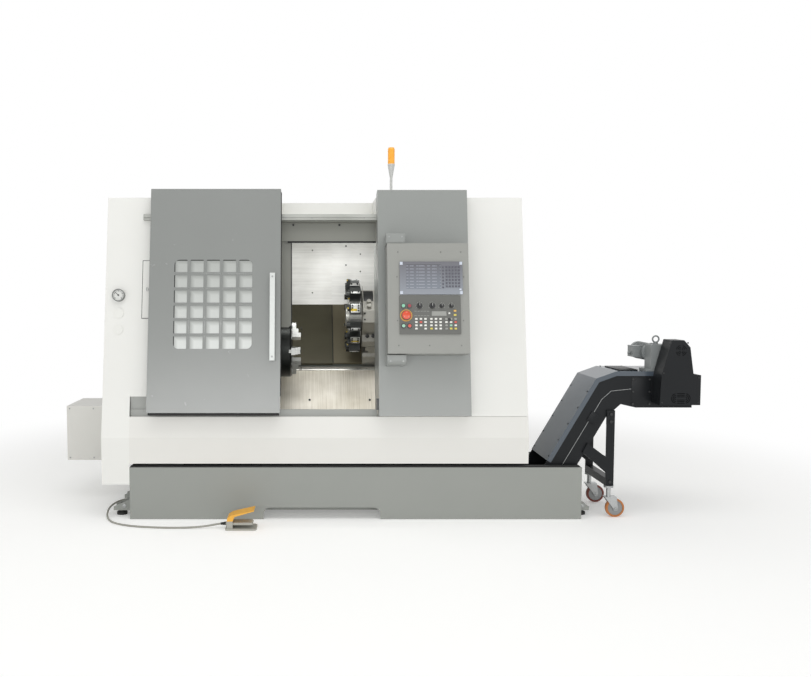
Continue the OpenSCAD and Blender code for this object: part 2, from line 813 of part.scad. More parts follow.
module cross_slide() {
    house_x = turret_x + turret_t + 12;
    piece("#cbc9c1") on_slope() {
        block([saddle_x + 20, saddle_right - 20], [turret_u - 170, turret_u + 310], [slide_n + seat, slide_n + 45]);
        along_x(house_x, house_x + 280)
            polygon([[turret_u - 165, slide_n + 45], [turret_u + 190, slide_n + 45], [turret_u + 190, 60],
                [turret_u + 130, 130], [turret_u - 70, 130], [turret_u - 130, 70], [turret_u - 130, -60],
                [turret_u - 165, -95]]);
        rod_x([turret_u, 0], turret_x + turret_t, house_x, 95);
        for (u = [turret_u - 40, turret_u + 4])
            translate([house_x + 46, u, 128]) cylinder(h = 26, r = 15);
        block([house_x, house_x + 3], [turret_u - 130, turret_u + 130], [129, 175]);
    }
}

// Twelve-sided turret disc with a bolt ring, and the clamped tool holders round it
stations = 12;
flat_r = turret_r * cos(180 / stations);

module on_turret(k) {
    translate([0, slope(turret_u, 0)[0], slope(turret_u, 0)[1]]) rotate([bed_slant + k * 360 / stations, 0, 0])
        children();
}
module turret_disc() {
    piece("#7f8381") on_turret(0.5) difference() {
        union() {
            rotate([0, 90, 0]) translate([0, 0, turret_x]) cylinder(h = turret_t, r = turret_r, $fn = stations);
            rod_x([0, 0], turret_x - 18, turret_x, 78);
        }
        for (k = [0 : stations - 1]) rotate([k * 360 / stations, 0, 0])
            rod_x([flat_r - 26, 0], turret_x - 1, turret_x + 12, 9);
        for (k = [0 : 5]) rotate([k * 60, 0, 0]) rod_x([58, 0], turret_x - 19, turret_x - 6, 8);
    }
}
module tool_holders() {
    piece(dark_iron) for (k = [0 : stations - 1]) on_turret(k) {
        holder_w = k % 2 == 0 ? 74 : 62;
        holder_r = k % 2 == 0 ? tool_r - 38 : tool_r - 12;
        block([turret_x + 4, turret_x + turret_t - 4], [flat_r, holder_r], [-holder_w / 2, holder_w / 2]);
        if (k % 2 == 0) {
            block([turret_x - 14, turret_x + 11], [flat_r + 14, tool_r], [-12, 13]);
            block([turret_x - 22, turret_x + 4], [flat_r + 8, holder_r - 4], [-holder_w / 2 + 8, -12]);
        }
        if (k % 2 == 1)
            rod_x([flat_r + 38, 0], turret_x - 20, turret_x + 4, 24);
    }
}

// Sliding door: a folded pan with the square-cell window, hangers and lower guides
cols = 5;
rows = 6;
cell_round = 34;
hangers = [110, door_w - 190];
hanger_w = 80;

function cell(i, j) = round_box(cell_x + i * cell_px, cell_v + j * cell_pv, cell_x + i * cell_px + cell_w,
    cell_v + j * cell_pv + cell_h, [i == 0 && j == 0 ? cell_round : 5, i == cols - 1 && j == 0 ? cell_round : 5,
    i == cols - 1 && j == rows - 1 ? cell_round : 5, i == 0 && j == rows - 1 ? cell_round : 5]);

module door_panel() {
    back = col_face + door_d;
    right = door_x + door_w;
    seat = rail_top + lip_h + 0.3;
    guide_v = door_v + 24;
    piece("#9da09d") on_front() {
        along_y(col_face, col_face + sheet) difference() {
            translate([door_x, door_v]) square([door_w, door_h]);
            for (i = [0 : cols - 1]) for (j = [0 : rows - 1]) polygon(cell(i, j));
        }
        for (x = [door_x, right - sheet])
            block([x, x + sheet], [col_face + sheet, back], [door_v, door_v + door_h]);
        for (v = [door_v, door_v + door_h - sheet])
            block([door_x, right], [col_face + sheet, back], [v, v + sheet]);
        for (x = hangers) {
            block([door_x + x, door_x + x + hanger_w], [col_face + sheet, -rail_d + lip_t + 6],
                [seat, seat + 30]);
            block([door_x + x, door_x + x + hanger_w], [back, track_guide(guide_v)],
                [guide_v, guide_v + 12]);
            block([door_x + x, door_x + x + hanger_w], [col_face + sheet, back], [guide_v, guide_v + 12]);
        }
    }
}
// Depth behind the leaning face at which a guide stops short of the lower track
function track_guide(v) = (track_y - gap - (v + 12) * sin(lean)) / cos(lean);

module door_window() {
    edge = 22;
    piece("#d5d8d6") on_front()
        block([cell_x - edge, cell_x + (cols - 1) * cell_px + cell_w + edge], [col_face + sheet, col_face + sheet + 6],
            [cell_v - edge, cell_v + (rows - 1) * cell_pv + cell_h + edge]);
}
handle_v = 480;
handle_off = 30;
handle_t = 12;

module door_handle() {
    x = door_x + door_w - 66;
    piece("#e4e7e4") on_front() {
        block([x, x + handle_w], [col_face - handle_off - handle_t, col_face - handle_off],
            [handle_v, handle_v + handle_len]);
        for (v = [handle_v + 12, handle_v + handle_len - 37])
            block([x + 4, x + handle_w - 4], [col_face - handle_off, col_face], [v, v + 25]);
    }
}

// Signal lamp on the roof
module beacon_stem() {
    piece("#c4c7c8") translate([beacon_x, beacon_y, 0]) rotate_extrude()
        polygon([[0, enc_top], [36, enc_top], [36, enc_top + 8], [12, enc_top + 20], [9, enc_top + 30],
            [9, enc_top + 158], [beacon_r, enc_top + 244], [beacon_r, enc_top + 252], [0, enc_top + 252]]);
}
module beacon_lens() {
    piece("#f0a733") translate([beacon_x, beacon_y, 0]) rotate_extrude()
        polygon([[0, enc_top + 252], [beacon_r - 1, enc_top + 252], [beacon_r - 1, enc_top + 352],
            [beacon_r - 5, enc_top + 362], [0, enc_top + 366]]);
}

// Chuck pressure gauge and two blank plugs on the pillar
gauge_x = -1262;
gauge_v = 910;
gauge_r = 40;
plugs_v = [796, 690];

module pressure_gauge() {
    piece(dark_iron) on_front() {
        difference() {
            stud(gauge_x, gauge_v, -24, 0, gauge_r);
            stud(gauge_x, gauge_v, -25, -18, gauge_r - 5);
        }
        for (v = plugs_v) stud(gauge_x, v, -5, 0, 32);
    }
}

// Electrical cabinet at the rear with its hinged door
module electrical_cabinet() {
    right = half_w - sheet;
    top = enc_top - sheet;
    low = apron_z + 2 * sheet;
    rear = enc_depth - cab_door_t - door_gap;
    piece("#dcdcd8") {
        difference() {
            block([cab_left, right], [cab_y, rear], [low, top]);
            block([cab_left + sheet, right - sheet], [cab_y + sheet, rear + 1], [low + sheet, top - sheet]);
        }
        block([cab_left + 60, right - 60], [cab_y + sheet, cab_y + 2 * sheet], [low + 100, top - 100]);
        for (z = cab_rails) block([cab_left + 60, bed_right - 40], [bed_back, cab_y + 1], [z, z + 60]);
    }
}
module cabinet_door() {
    right = half_w - sheet - door_gap;
    top = enc_top - sheet - door_gap;
    low = apron_z + 2 * sheet;
    rear = enc_depth - 8;
    piece(white) {
        difference() {
            block([cab_left + door_gap, right], [enc_depth - cab_door_t - door_gap + seat, rear], [low, top]);
            block([cab_left + door_gap + sheet, right - sheet], [enc_depth - cab_door_t - door_gap, rear - sheet],
                [low + sheet, top - sheet]);
            for (k = [0 : 7])
                block([half_w - 500, half_w - 200], [rear - sheet - 1, rear + 1], [low + 120 + 24 * k, low + 130 + 24 * k]);
        }
        block([cab_left + 50, cab_left + 72], [rear, enc_depth], [1100, 1240]);
    }
}

// Chip conveyor: a flat run in the tank, a rising run and a level head
run_low = 110;
run_h = 160;
run_left = -900;
conv_t = 4;
head_low = 706;
thick = 180;
casing_y = [conv_y, conv_y + conv_w];
run_top = run_low + run_h;
rise_end = rise_x + (conv_top - 45 - run_top) / tan(conv_rise);
upper_path = [[run_left, run_top], [rise_x, run_top], [rise_end, conv_top - 45], [rise_end + 125, conv_top],
    [conv_end, conv_top]];
elbow = rise_x + thick / sin(conv_rise) - run_h / tan(conv_rise);
elbow_top = 645;
lower_path = [[run_left, run_low], [elbow, run_low], [elbow + (elbow_top - run_low) / tan(conv_rise), elbow_top],
    [rise_end + 158, 728], [rise_end + 255, head_low], [conv_end, head_low]];
discharge_x = conv_end - 230;
skids_x = [run_left + 200, rise_x - 300];

module conveyor_casing() {
    piece(black) {
        difference() {
            along_y(casing_y[0], casing_y[1]) polygon(concat(lower_path, reversed(upper_path)));
            along_y(casing_y[0] + conv_t, casing_y[1] - conv_t)
                polygon(concat([for (p = shifted(lower_path, conv_t)) [min(p[0], conv_end - conv_t), p[1]]],
                    reversed([for (p = shifted(upper_path, 5)) [min(p[0], conv_end - conv_t), p[1]]])));
            block([discharge_x, conv_end - 16], [casing_y[0] + 12, casing_y[1] - 12], [head_low - 1, head_low + conv_t + 1]);
        }
        for (x = skids_x) block([x, x + 60], casing_y, [tank_floor + tank_t, run_low + 1]);
    }
}

// Cover sheets over the rising run and the head
lid_t = 3;
lid_lap = 26;

module conveyor_lid() {
    path = [upper_path[1] + 110 * [cos(conv_rise), sin(conv_rise)], upper_path[2], upper_path[3], upper_path[4]];
    piece("#23272a") {
        along_y(casing_y[0], casing_y[1]) polygon(strip(path, 0, lid_t));
        for (y = [casing_y[0] - lid_t, casing_y[1]])
            along_y(y, y + lid_t) polygon(strip(path, -lid_lap, lid_t));
    }
}

// Stand under the rising run: two posts, cross beams and braces
post_x = 1857;
post_w = 50;
post_t = 14;
beam_z = 205;
beam_h = 50;
swivel_x = post_x + post_w / 2;
caster_y = [conv_y, conv_y + conv_w];

module conveyor_stand() {
    posts = [casing_y[0] - lid_t - post_t, casing_y[1] + lid_t];
    piece(black) {
        for (y = posts) {
            block([post_x, post_x + post_w], [y, y + post_t], [beam_z, 690]);
            along_y(y, y + post_t) polygon([[swivel_x, 268], [swivel_x, 371], [post_x - 120, 480], [post_x - 150, 420]]);
        }
        for (y = [casing_y[0] - lid_t, casing_y[1]])
            block([post_x, post_x + post_w], [y, y + lid_t], [600, 690]);
        block([post_x, post_x + post_w], [posts[0], posts[1] + post_t], [beam_z, beam_z + beam_h]);
        block([post_x + 8, post_x + post_w - 8], [posts[0] + post_t, posts[1]], [beam_z + 130, beam_z + 165]);
    }
}

// Casters: a swivel fork with its axle, and a wheel that runs on the axle
axle_r = 6;
wheel_w = 32;
stem_r = 8;
fork_top = beam_z;

module caster_fork(y) {
    piece("#b9bbb9") translate([swivel_x, y, 0]) {
        translate([0, 0, fork_top - 12]) cylinder(h = 12, r = 30);
        translate([0, 0, 2 * caster_r + 14]) cylinder(h = fork_top - 2 * caster_r - 14, r = stem_r + 6);
        block([-28, 46], [-wheel_w / 2 - 9, wheel_w / 2 + 9], [2 * caster_r + 8, 2 * caster_r + 14]);
        for (side = [-1, 1])
            along_y(side > 0 ? wheel_w / 2 + 4 : -wheel_w / 2 - 9, side > 0 ? wheel_w / 2 + 9 : -wheel_w / 2 - 4)
                polygon([[-28, 2 * caster_r + 10], [46, 2 * caster_r + 10], [caster_trail + 14, caster_r + 4],
                    [caster_trail + 10, caster_r - 14], [caster_trail - 10, caster_r - 14], [caster_trail - 16, caster_r]]);
        translate([caster_trail, wheel_w / 2 + 12, caster_r]) rotate([90, 0, 0]) cylinder(h = wheel_w + 24, r = axle_r);
    }
}
module caster_wheel(y) {
    piece("#c9762c") translate([swivel_x + caster_trail, y, caster_r]) rotate([90, 0, 0]) rotate_extrude()
        polygon([[axle_r + fit, -wheel_w / 2 - 3], [18, -wheel_w / 2 - 3], [18, -wheel_w / 2 + 5],
            [caster_r - 14, -wheel_w / 2 + 5], [caster_r - 12, -wheel_w / 2], [caster_r - 4, -wheel_w / 2],
            [caster_r - 0.5, -wheel_w / 2 + 6], [caster_r - 0.5, wheel_w / 2 - 6], [caster_r - 4, wheel_w / 2],
            [caster_r - 12, wheel_w / 2], [caster_r - 14, wheel_w / 2 - 5], [18, wheel_w / 2 - 5],
            [18, wheel_w / 2 + 3], [axle_r + fit, wheel_w / 2 + 3]]);
}
module caster_fork_front() { caster_fork(caster_y[0]); }
module caster_fork_rear() { caster_fork(caster_y[1]); }
module caster_wheel_front() { caster_wheel(caster_y[0]); }
module caster_wheel_rear() { caster_wheel(caster_y[1]); }

// Guard over the drive chain on the head's front, with slotted vents
guard_d = 122;
guard_t = 3;
guard_outline = [[conv_end - 258, 740], [conv_end - 6, 740], [conv_end - 6, conv_top - 8], [conv_end - 53, conv_top],
    [conv_end - 77, 1100], [conv_end - 116, 1144], [conv_end - 193, 1144], [conv_end - 250, conv_top - 6]];
vent_round = [conv_end - 133, 1080];
vent_long = [conv_end - 128, 782];

module chain_guard() {
    y0 = casing_y[0] - lid_t - guard_d;
    y1 = casing_y[0] - lid_t;
    piece("#1d2022") difference() {
        along_y(y0, y1) polygon(guard_outline);
        along_y(y0 + guard_t, y1 + 1) polygon(shifted_loop(guard_outline, guard_t));
        for (r = [12, 22, 32]) for (a = [0 : 3])
            vent_arc(vent_round, y0, r, 90 * a + 14, 62);
        for (r = [10, 20, 30]) {
            for (s = [-1, 1]) {
                vent_arc(vent_long + [s * 28, 0], y0, r, s > 0 ? -82 : 98, 164);
                translate([vent_long[0] - 24, y0 - 1, vent_long[1] + s * r - 2]) cube([48, guard_t + 2, 4]);
            }
        }
    }
}
module vent_arc(c, y, r, a0, sweep) {
    steps = 6;
    arc = [for (k = [0 : steps]) [cos(a0 + sweep * k / steps), sin(a0 + sweep * k / steps)]];
    along_y(y - 1, y + guard_t + 1)
        polygon(concat([for (p = arc) c + (r - 2) * p], reversed([for (p = arc) c + (r + 2) * p])));
}
// Closed outline moved inwards by d, for an outline that runs counter-clockwise
function loop_mitre(p, i) = let (n = len(p), a = left_of(unit(p[i] - p[(i + n - 1) % n])),
    b = left_of(unit(p[(i + 1) % n] - p[i]))) (a + b) / (1 + a * b);
function shifted_loop(p, d) = [for (i = [0 : len(p) - 1]) p[i] + d * loop_mitre(p, i)];

// Gearmotor on the head: gear case, flanged motor, terminal box and lifting eye
motor_at = [conv_end - 215, 1050];
gear_d = 100;

module gearmotor() {
    foot = conv_top + lid_t;
    piece("#8c9291") {
        block([motor_at[0] - 48, motor_at[0] + 52], [casing_y[0] + 10, casing_y[0] + 10 + gear_d], [foot + 14, 1108]);
        block([motor_at[0] - 80, motor_at[0] + 70], [casing_y[0] + 6, casing_y[0] + 6 + gear_d + 8], [foot, foot + 14]);
        rod_y(motor_at, casing_y[0] + 10 + gear_d, casing_y[0] + 26 + gear_d, 62);
        rod_y(motor_at, casing_y[0] + 26 + gear_d, casing_y[0] + 210 + gear_d, 52);
        for (k = [0 : 7])
            rod_y(motor_at, casing_y[0] + 40 + gear_d + 20 * k, casing_y[0] + 46 + gear_d + 20 * k, 57);
        rod_y(motor_at, casing_y[0] + 210 + gear_d, casing_y[0] + 240 + gear_d, 58);
        block([motor_at[0] - 104, motor_at[0] - 46], [casing_y[0] + 60 + gear_d, casing_y[0] + 150 + gear_d], [1016, 1084]);
        translate([motor_at[0], casing_y[0] + 60, 1108]) {
            cylinder(h = 12, r = 14);
            translate([0, 0, 32]) rotate([90, 0, 0]) rotate_extrude() translate([20, 0]) circle(r = 5, $fn = 24);
        }
    }
}
module rod_y(p, y0, y1, r) {
    translate([p[0], y1, p[1]]) rotate([90, 0, 0]) cylinder(h = y1 - y0, r = r);
}

// Foot pedal: flanged base, hooded guard and a treadle hinged at the cable end
pedal_x = -545;
pedal_y = -245;
pedal_l = 190;
pedal_d = 120;
hinge_at = [28, 34];
hinge_r = 6;

module at_pedal() {
    translate([pedal_x, pedal_y, 0]) children();
}
module pedal_base() {
    piece("#b3b2aa") at_pedal() {
        along_z(0, 10) polygon(round_box(0, 0, pedal_l, pedal_d, [14, 22, 22, 14]));
        difference() {
            block([10, 46], [10, pedal_d - 10], [10, 56]);
            block([hinge_at[0] - 10, 47], [19, pedal_d - 19], [10, 45]);
            rod_y(hinge_at, 11, pedal_d - 11, hinge_r + fit);
        }
        translate([0, pedal_d / 2, 30]) rotate([0, 90, 0]) cylinder(h = 12, r = 12);
    }
}
module along_z(z0, z1) {
    translate([0, 0, z0]) linear_extrude(z1 - z0) children();
}
module pedal_treadle() {
    piece("#a9a89f") at_pedal() {
        rod_y(hinge_at, 12, pedal_d - 12, hinge_r);
        along_y(20, pedal_d - 20)
            polygon([[hinge_at[0] - 4, 30], [160, 30], [168, 36], [160, 44], [48, 44], [hinge_at[0] + 14, 40],
                [hinge_at[0] - 4, 38]]);
    }
}
module pedal_guard() {
    piece(yellow) at_pedal() {
        along_y(6, pedal_d - 6) polygon([[10, 56], [46, 56], [58, 84], [100, 96], [176, 118], [176, 123], [100, 106],
            [40, 92], [14, 76]]);
    }
}

// Cable from the gland in the tank's left end to the pedal: hand-picked route
cable_r = 6;
cable_route = [gland, gland - [45, 0, 2], [-1300, 205, 60], [-1335, 130, 42], [-1330, 40, 18], [-1290, -50, 7],
    [-1220, -120, 6.2], [-1120, -165, 6.2], [-1000, -190, 6.2], [-860, -200, 6.2], [-740, -195, 8], [-650, -188, 16],
    [-590, -185, 26], [-545, -185, 30]];
cable_steps = 4;
cable_sides = 8;

// Smooth route through the points, and rings square to it
function route_at(p, i) = p[max(0, min(len(p) - 1, i))];
function bend(a, b, c, d, t) = 0.5 * (2 * b + (c - a) * t + (2 * a - 5 * b + 4 * c - d) * t * t
    + (3 * b - a - 3 * c + d) * t * t * t);
function smooth_route(p, n) = concat([for (i = [0 : len(p) - 2]) for (k = [0 : n - 1])
    bend(route_at(p, i - 1), p[i], p[i + 1], route_at(p, i + 2), k / n)], [p[len(p) - 1]]);
function ring(p, i) = let (t = i == 0 ? [-1, 0, 0] : i == len(p) - 1 ? [1, 0, 0] : unit(p[i + 1] - p[i - 1]),
    s = unit(cross([0, 0, 1], t)), up = cross(t, s))
    [for (k = [0 : cable_sides - 1]) p[i] + cable_r * (cos(45 * k + 22.5) * s + sin(45 * k + 22.5) * up)];

module pedal_cable() {
    p = smooth_route(cable_route, cable_steps);
    n = len(p);
    m = cable_sides;
    points = [for (i = [0 : n - 1]) each ring(p, i)];
    sides = [for (i = [0 : n - 2]) for (k = [0 : m - 1])
        [i * m + k, i * m + (k + 1) % m, (i + 1) * m + (k + 1) % m, (i + 1) * m + k]];
    piece("#c3c2bd")
        polyhedron(points, concat(sides, [[for (k = [m - 1 : -1 : 0]) k], [for (k = [0 : m - 1]) (n - 1) * m + k]]));
}

coolant_tank();
levelling_feet();
slant_bed();
headstock();
motor_cover();
left_front_panel();
right_front_panel();
front_apron();
side_panels();
rear_panel();
roof_panel();
header_beam();
door_rail();
door_sill();
console_column();
end_guards();
jamb_guard();
lower_guard();
way_covers();
beacon_stem();
beacon_lens();
pressure_gauge();
electrical_cabinet();
conveyor_casing();
conveyor_lid();
conveyor_stand();
chain_guard();
gearmotor();
pedal_base();
pedal_guard();
pedal_cable();
door_panel();
door_window();
door_handle();
spindle();
chuck_body();
jaw_1();
jaw_2();
jaw_3();
saddle();
saddle_covers();
cross_slide();
turret_disc();
tool_holders();
control_box();
lcd_unit();
operator_panel();
e_stop();
knob_1();
knob_2();
knob_3();
knob_4();
cycle_button();
hold_button();
pedal_treadle();
cabinet_door();
caster_fork_front();
caster_fork_rear();
caster_wheel_front();
caster_wheel_rear();
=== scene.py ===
import math

import bmesh
import bpy
from mathutils import Matrix, Vector


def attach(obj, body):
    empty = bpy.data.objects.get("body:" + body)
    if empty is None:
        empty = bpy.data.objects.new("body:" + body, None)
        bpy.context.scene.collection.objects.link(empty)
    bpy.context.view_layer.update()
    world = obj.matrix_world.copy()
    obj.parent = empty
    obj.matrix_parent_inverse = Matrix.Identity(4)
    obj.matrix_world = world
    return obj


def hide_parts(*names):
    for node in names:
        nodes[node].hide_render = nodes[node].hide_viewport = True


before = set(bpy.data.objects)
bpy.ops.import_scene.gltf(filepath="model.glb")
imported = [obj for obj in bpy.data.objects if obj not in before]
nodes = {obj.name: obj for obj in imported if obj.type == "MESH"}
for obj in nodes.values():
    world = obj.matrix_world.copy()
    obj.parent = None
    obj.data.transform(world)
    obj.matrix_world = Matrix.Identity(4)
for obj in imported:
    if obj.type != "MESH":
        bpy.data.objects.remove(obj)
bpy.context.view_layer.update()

# The photograph was taken straight on at eye height, from about five metres in front
# of the apron. The lens is level across and tips down a little; the machine stands left
# of the picture's middle, which the shift of the sensor gives.
EYE = (-0.340, -5.8053, 1.4665)
TIP_DOWN = math.radians(3.61)
camera_data = bpy.data.cameras.new("camera")
camera_data.lens = 35.51
camera_data.sensor_width = 36.0
camera_data.shift_x = 0.1116
camera = bpy.data.objects.new("camera", camera_data)
camera.location = EYE
camera.rotation_euler = (math.pi / 2 - TIP_DOWN, 0, 0)
bpy.context.scene.collection.objects.link(camera)
bpy.context.scene.camera = camera
bpy.context.scene.view_settings.view_transform = "Standard"


# Pedal cable: a round sheathed lead, 12 mm thick, from the gland in the tank's left end
# to the foot pedal. It comes out level, drops to the floor and lies there in one bend.
CENTRE = (340.0, 805.303)


def at(x, y, z):
    """A point in the machine's millimetres, from the apron's face, in the row's frame."""
    return Vector((x - CENTRE[0], y - CENTRE[1], z)) / 1000


def linear(code):
    """An sRGB hex colour as linear red, green, blue and alpha."""
    parts = [int(code[i:i + 2], 16) / 255 for i in (1, 3, 5)]
    return (*[p / 12.92 if p < 0.04045 else ((p + 0.055) / 1.055) ** 2.4 for p in parts], 1.0)


def put(tree, kind, settings, links):
    """Adds one node, sets its properties, and sets or links its inputs."""
    made = tree.nodes.new("ShaderNode" + kind)
    for name, value in settings.items():
        setattr(made, name, value)
    for name, value in links.items():
        if isinstance(value, bpy.types.NodeSocket):
            tree.links.new(value, made.inputs[name])
        else:
            made.inputs[name].default_value = value
    return made


def surface(name, rough, metal=0.0, specular=0.5):
    """A material with one shader: the tree, the shader and the piece's own coordinates."""
    made = bpy.data.materials.new(name)
    made.use_nodes = True
    tree = made.node_tree
    shader = tree.nodes["Principled BSDF"]
    for socket, value in (("Roughness", rough), ("Metallic", metal), ("Specular IOR Level", specular)):
        shader.inputs[socket].default_value = value
    coords = put(tree, "TexCoord", {}, {})
    return made, tree, shader, coords.outputs["Object"]


def moulded(name, colour, shade, rough, size=0.02, metal=0.0, specular=0.5):
    """Moulded plastic, rubber or plating: two close tones in soft patches, with the fine
    spark-eroded grain of the mould, drawn 3 mm wide so that it shows."""
    made, tree, shader, coords = surface(name, rough, metal, specular)
    patch = put(tree, "TexNoise", {}, {"Vector": coords, "Scale": 1 / size, "Detail": 4.0})
    tone = put(tree, "MixRGB", {}, {"Fac": patch.outputs["Fac"], "Color1": linear(colour), "Color2": linear(shade)})
    tree.links.new(tone.outputs[0], shader.inputs["Base Color"])
    grain = put(tree, "TexNoise", {}, {"Vector": coords, "Scale": 1 / 0.003, "Detail": 2.0})
    bump = put(tree, "Bump", {}, {"Height": grain.outputs["Fac"], "Strength": 0.08, "Distance": 0.0003})
    tree.links.new(bump.outputs[0], shader.inputs["Normal"])
    return made


GLAND = Vector((-1199, 240, 70))
ROUTE = [GLAND, GLAND - Vector((45, 0, 2))] + [Vector(p) for p in (
    (-1300, 205, 60), (-1335, 130, 42), (-1330, 40, 18), (-1290, -50, 7), (-1220, -120, 6.2),
    (-1120, -165, 6.2), (-1000, -190, 6.2), (-860, -200, 6.2), (-740, -195, 8), (-650, -188, 16),
    (-590, -185, 26), (-545, -185, 30))]
ROUTE_STEPS = 4
cable_line = []
for i in range(len(ROUTE) - 1):
    a, b, c, d = (ROUTE[min(max(k, 0), len(ROUTE) - 1)] for k in (i - 1, i, i + 1, i + 2))
    for k in range(ROUTE_STEPS):
        t = k / ROUTE_STEPS
        cable_line.append(0.5 * (2 * b + (c - a) * t + (2 * a - 5 * b + 4 * c - d) * t * t
                                 + (3 * b - a - 3 * c + d) * t ** 3))
cable_line = [at(*p) for p in cable_line + [ROUTE[-1]]]
cable_curve = bpy.data.curves.new("pedal_lead", "CURVE")
cable_curve.dimensions = "3D"
cable_curve.bevel_depth = 0.006
cable_curve.bevel_resolution = 4
cable_curve.use_fill_caps = True
cable_spline = cable_curve.splines.new("POLY")
cable_spline.points.add(len(cable_line) - 1)
for point, place in zip(cable_spline.points, cable_line):
    point.co = (*place, 1.0)
cable = bpy.data.objects.new("pedal_lead", cable_curve)
bpy.context.scene.collection.objects.link(cable)
cable_curve.materials.append(moulded("grey_pvc_sheath", "#8d8c84", "#a3a299", 0.5, 0.08))
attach(cable, "machine")
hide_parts("pedal_cable")


# The room: a white studio with a broad soft box overhead, a small one at the left and a
# long low one in front, which the leaning sheets mirror along their lower edges. A work
# lamp behind the header lights the chamber.
ROOM_LIGHT = 0.56
world = bpy.data.worlds.new("room")
bpy.context.scene.world = world
world.use_nodes = True
world.node_tree.nodes.clear()
rays = put(world.node_tree, "LightPath", {}, {})
seen = put(world.node_tree, "Math", {"operation": "MAXIMUM"},
           {0: rays.outputs["Is Camera Ray"], 1: rays.outputs["Is Transmission Ray"]})
seen = put(world.node_tree, "Math", {"operation": "MAXIMUM"},
           {0: seen.outputs[0], 1: rays.outputs["Is Glossy Ray"]})
level = put(world.node_tree, "MapRange", {}, {"Value": seen.outputs[0], "To Min": ROOM_LIGHT, "To Max": 1.0})
sky = put(world.node_tree, "Background", {}, {"Color": linear("#ffffff"), "Strength": level.outputs[0]})
put(world.node_tree, "OutputWorld", {}, {"Surface": sky.outputs[0]})
for name, place, aim, size, watts in (
        ("soft_box_top", (0.0, -2.4, 5.5), (0.0, -0.9, 0.0), (6.0, 2.5), 80),
        ("soft_box_left", (-5.5, -3.5, 2.6), (-0.6, -0.6, 1.0), (2.5, 2.5), 12),
        ("soft_box_low", (0.0, -9.0, 2.1), (0.0, -0.8, 1.0), (8.0, 1.0), 165),
        ("work_lamp", (-0.15, -0.44, 1.86), (-0.15, -0.22, 1.0), (1.2, 0.15), 6.2)):
    lamp = bpy.data.lights.new(name, "AREA")
    lamp.shape = "RECTANGLE"
    lamp.size, lamp.size_y = size
    lamp.energy = watts
    box = bpy.data.objects.new(name, lamp)
    box.location = place
    box.rotation_euler = (Vector(aim) - Vector(place)).to_track_quat("-Z", "Y").to_euler()
    bpy.context.scene.collection.objects.link(box)

# The floor: a pale matt painted sweep. It keeps the machine's shadow and fades to the white
# of the room further off.
FADE = (2.4, 4.6)
floor_mesh = bmesh.new()
bmesh.ops.create_grid(floor_mesh, x_segments=1, y_segments=1, size=30.0)
floor = bpy.data.objects.new("floor", bpy.data.meshes.new("floor"))
floor_mesh.to_mesh(floor.data)
floor_mesh.free()
bpy.context.scene.collection.objects.link(floor)
floor_paint, tree, shader, coords = surface("studio_floor", 0.9)
shader.inputs["Base Color"].default_value = linear("#f7f7f5")
shader.inputs["Emission Color"].default_value = linear("#ffffff")
shader.inputs["Emission Strength"].default_value = 0.2
reach = put(tree, "VectorMath", {"operation": "LENGTH"}, {0: coords})
far = put(tree, "MapRange", {"interpolation_type": "SMOOTHSTEP"},
          {"Value": reach.outputs["Value"], "From Min": FADE[0], "From Max": FADE[1]})
glow = put(tree, "Emission", {}, {"Color": linear("#ffffff"), "Strength": 1.0})
blend = put(tree, "MixShader", {}, {0: far.outputs[0], 1: shader.outputs[0], 2: glow.outputs[0]})
tree.links.new(blend.outputs[0], tree.nodes["Material Output"].inputs["Surface"])
floor.data.materials.append(floor_paint)


# Cable sleeves: ribbed rubber strain reliefs where the cable leaves the tank's gland and
# where it enters the pedal.
def build(name, mesh, mat, body):
    """Makes a bmesh an object in the row's frame, finished and riding on its body."""
    bmesh.ops.recalc_face_normals(mesh, faces=mesh.faces)
    data = bpy.data.meshes.new(name)
    mesh.to_mesh(data)
    mesh.free()
    data.shade_smooth()
    data.set_sharp_from_angle(angle=math.radians(35))
    made = bpy.data.objects.new(name, data)
    bpy.context.scene.collection.objects.link(made)
    data.materials.append(mat)
    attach(made, body)


def stand(point, out, up):
    """A place at a point: local Z along out, local Y along up."""
    z = Vector(out).normalized()
    x = Vector(up).cross(z).normalized()
    return Matrix.Translation(point) @ Matrix((x, z.cross(x), z)).transposed().to_4x4()


def soften(mesh, verts, width, sharp):
    """Rounds the edges among verts that turn by more than sharp degrees."""
    edges = dict.fromkeys(e for v in verts for e in v.link_edges)
    edges = [e for e in edges if len(e.link_faces) == 2 and e.calc_face_angle() > math.radians(sharp)]
    bmesh.ops.bevel(mesh, geom=edges, offset=width / 1000, offset_type="OFFSET", segments=2, profile=0.5,
                    affect="EDGES", material=-1)


def slab(mesh, place, size, soft=0.0):
    """A plate that stands on a place, in millimetres, its edges rounded by soft."""
    w, h, t = (s / 1000 for s in size)
    made = bmesh.ops.create_cube(mesh, size=1.0, matrix=place @ Matrix.Translation((0, 0, t / 2))
                                 @ Matrix.Diagonal((w, h, t, 1)))
    if soft:
        soften(mesh, made["verts"], soft, 30)


def boss(mesh, place, radius, height, sides=20, soft=0.0, top=None):
    """A round or many-sided boss that stands on a place, its rims rounded by soft."""
    made = bmesh.ops.create_cone(mesh, cap_ends=True, segments=sides, radius1=radius / 1000,
                                 radius2=(radius if top is None else top) / 1000, depth=height / 1000,
                                 matrix=place @ Matrix.Translation((0, 0, height / 2000)))
    if soft:
        soften(mesh, made["verts"], soft, 61)


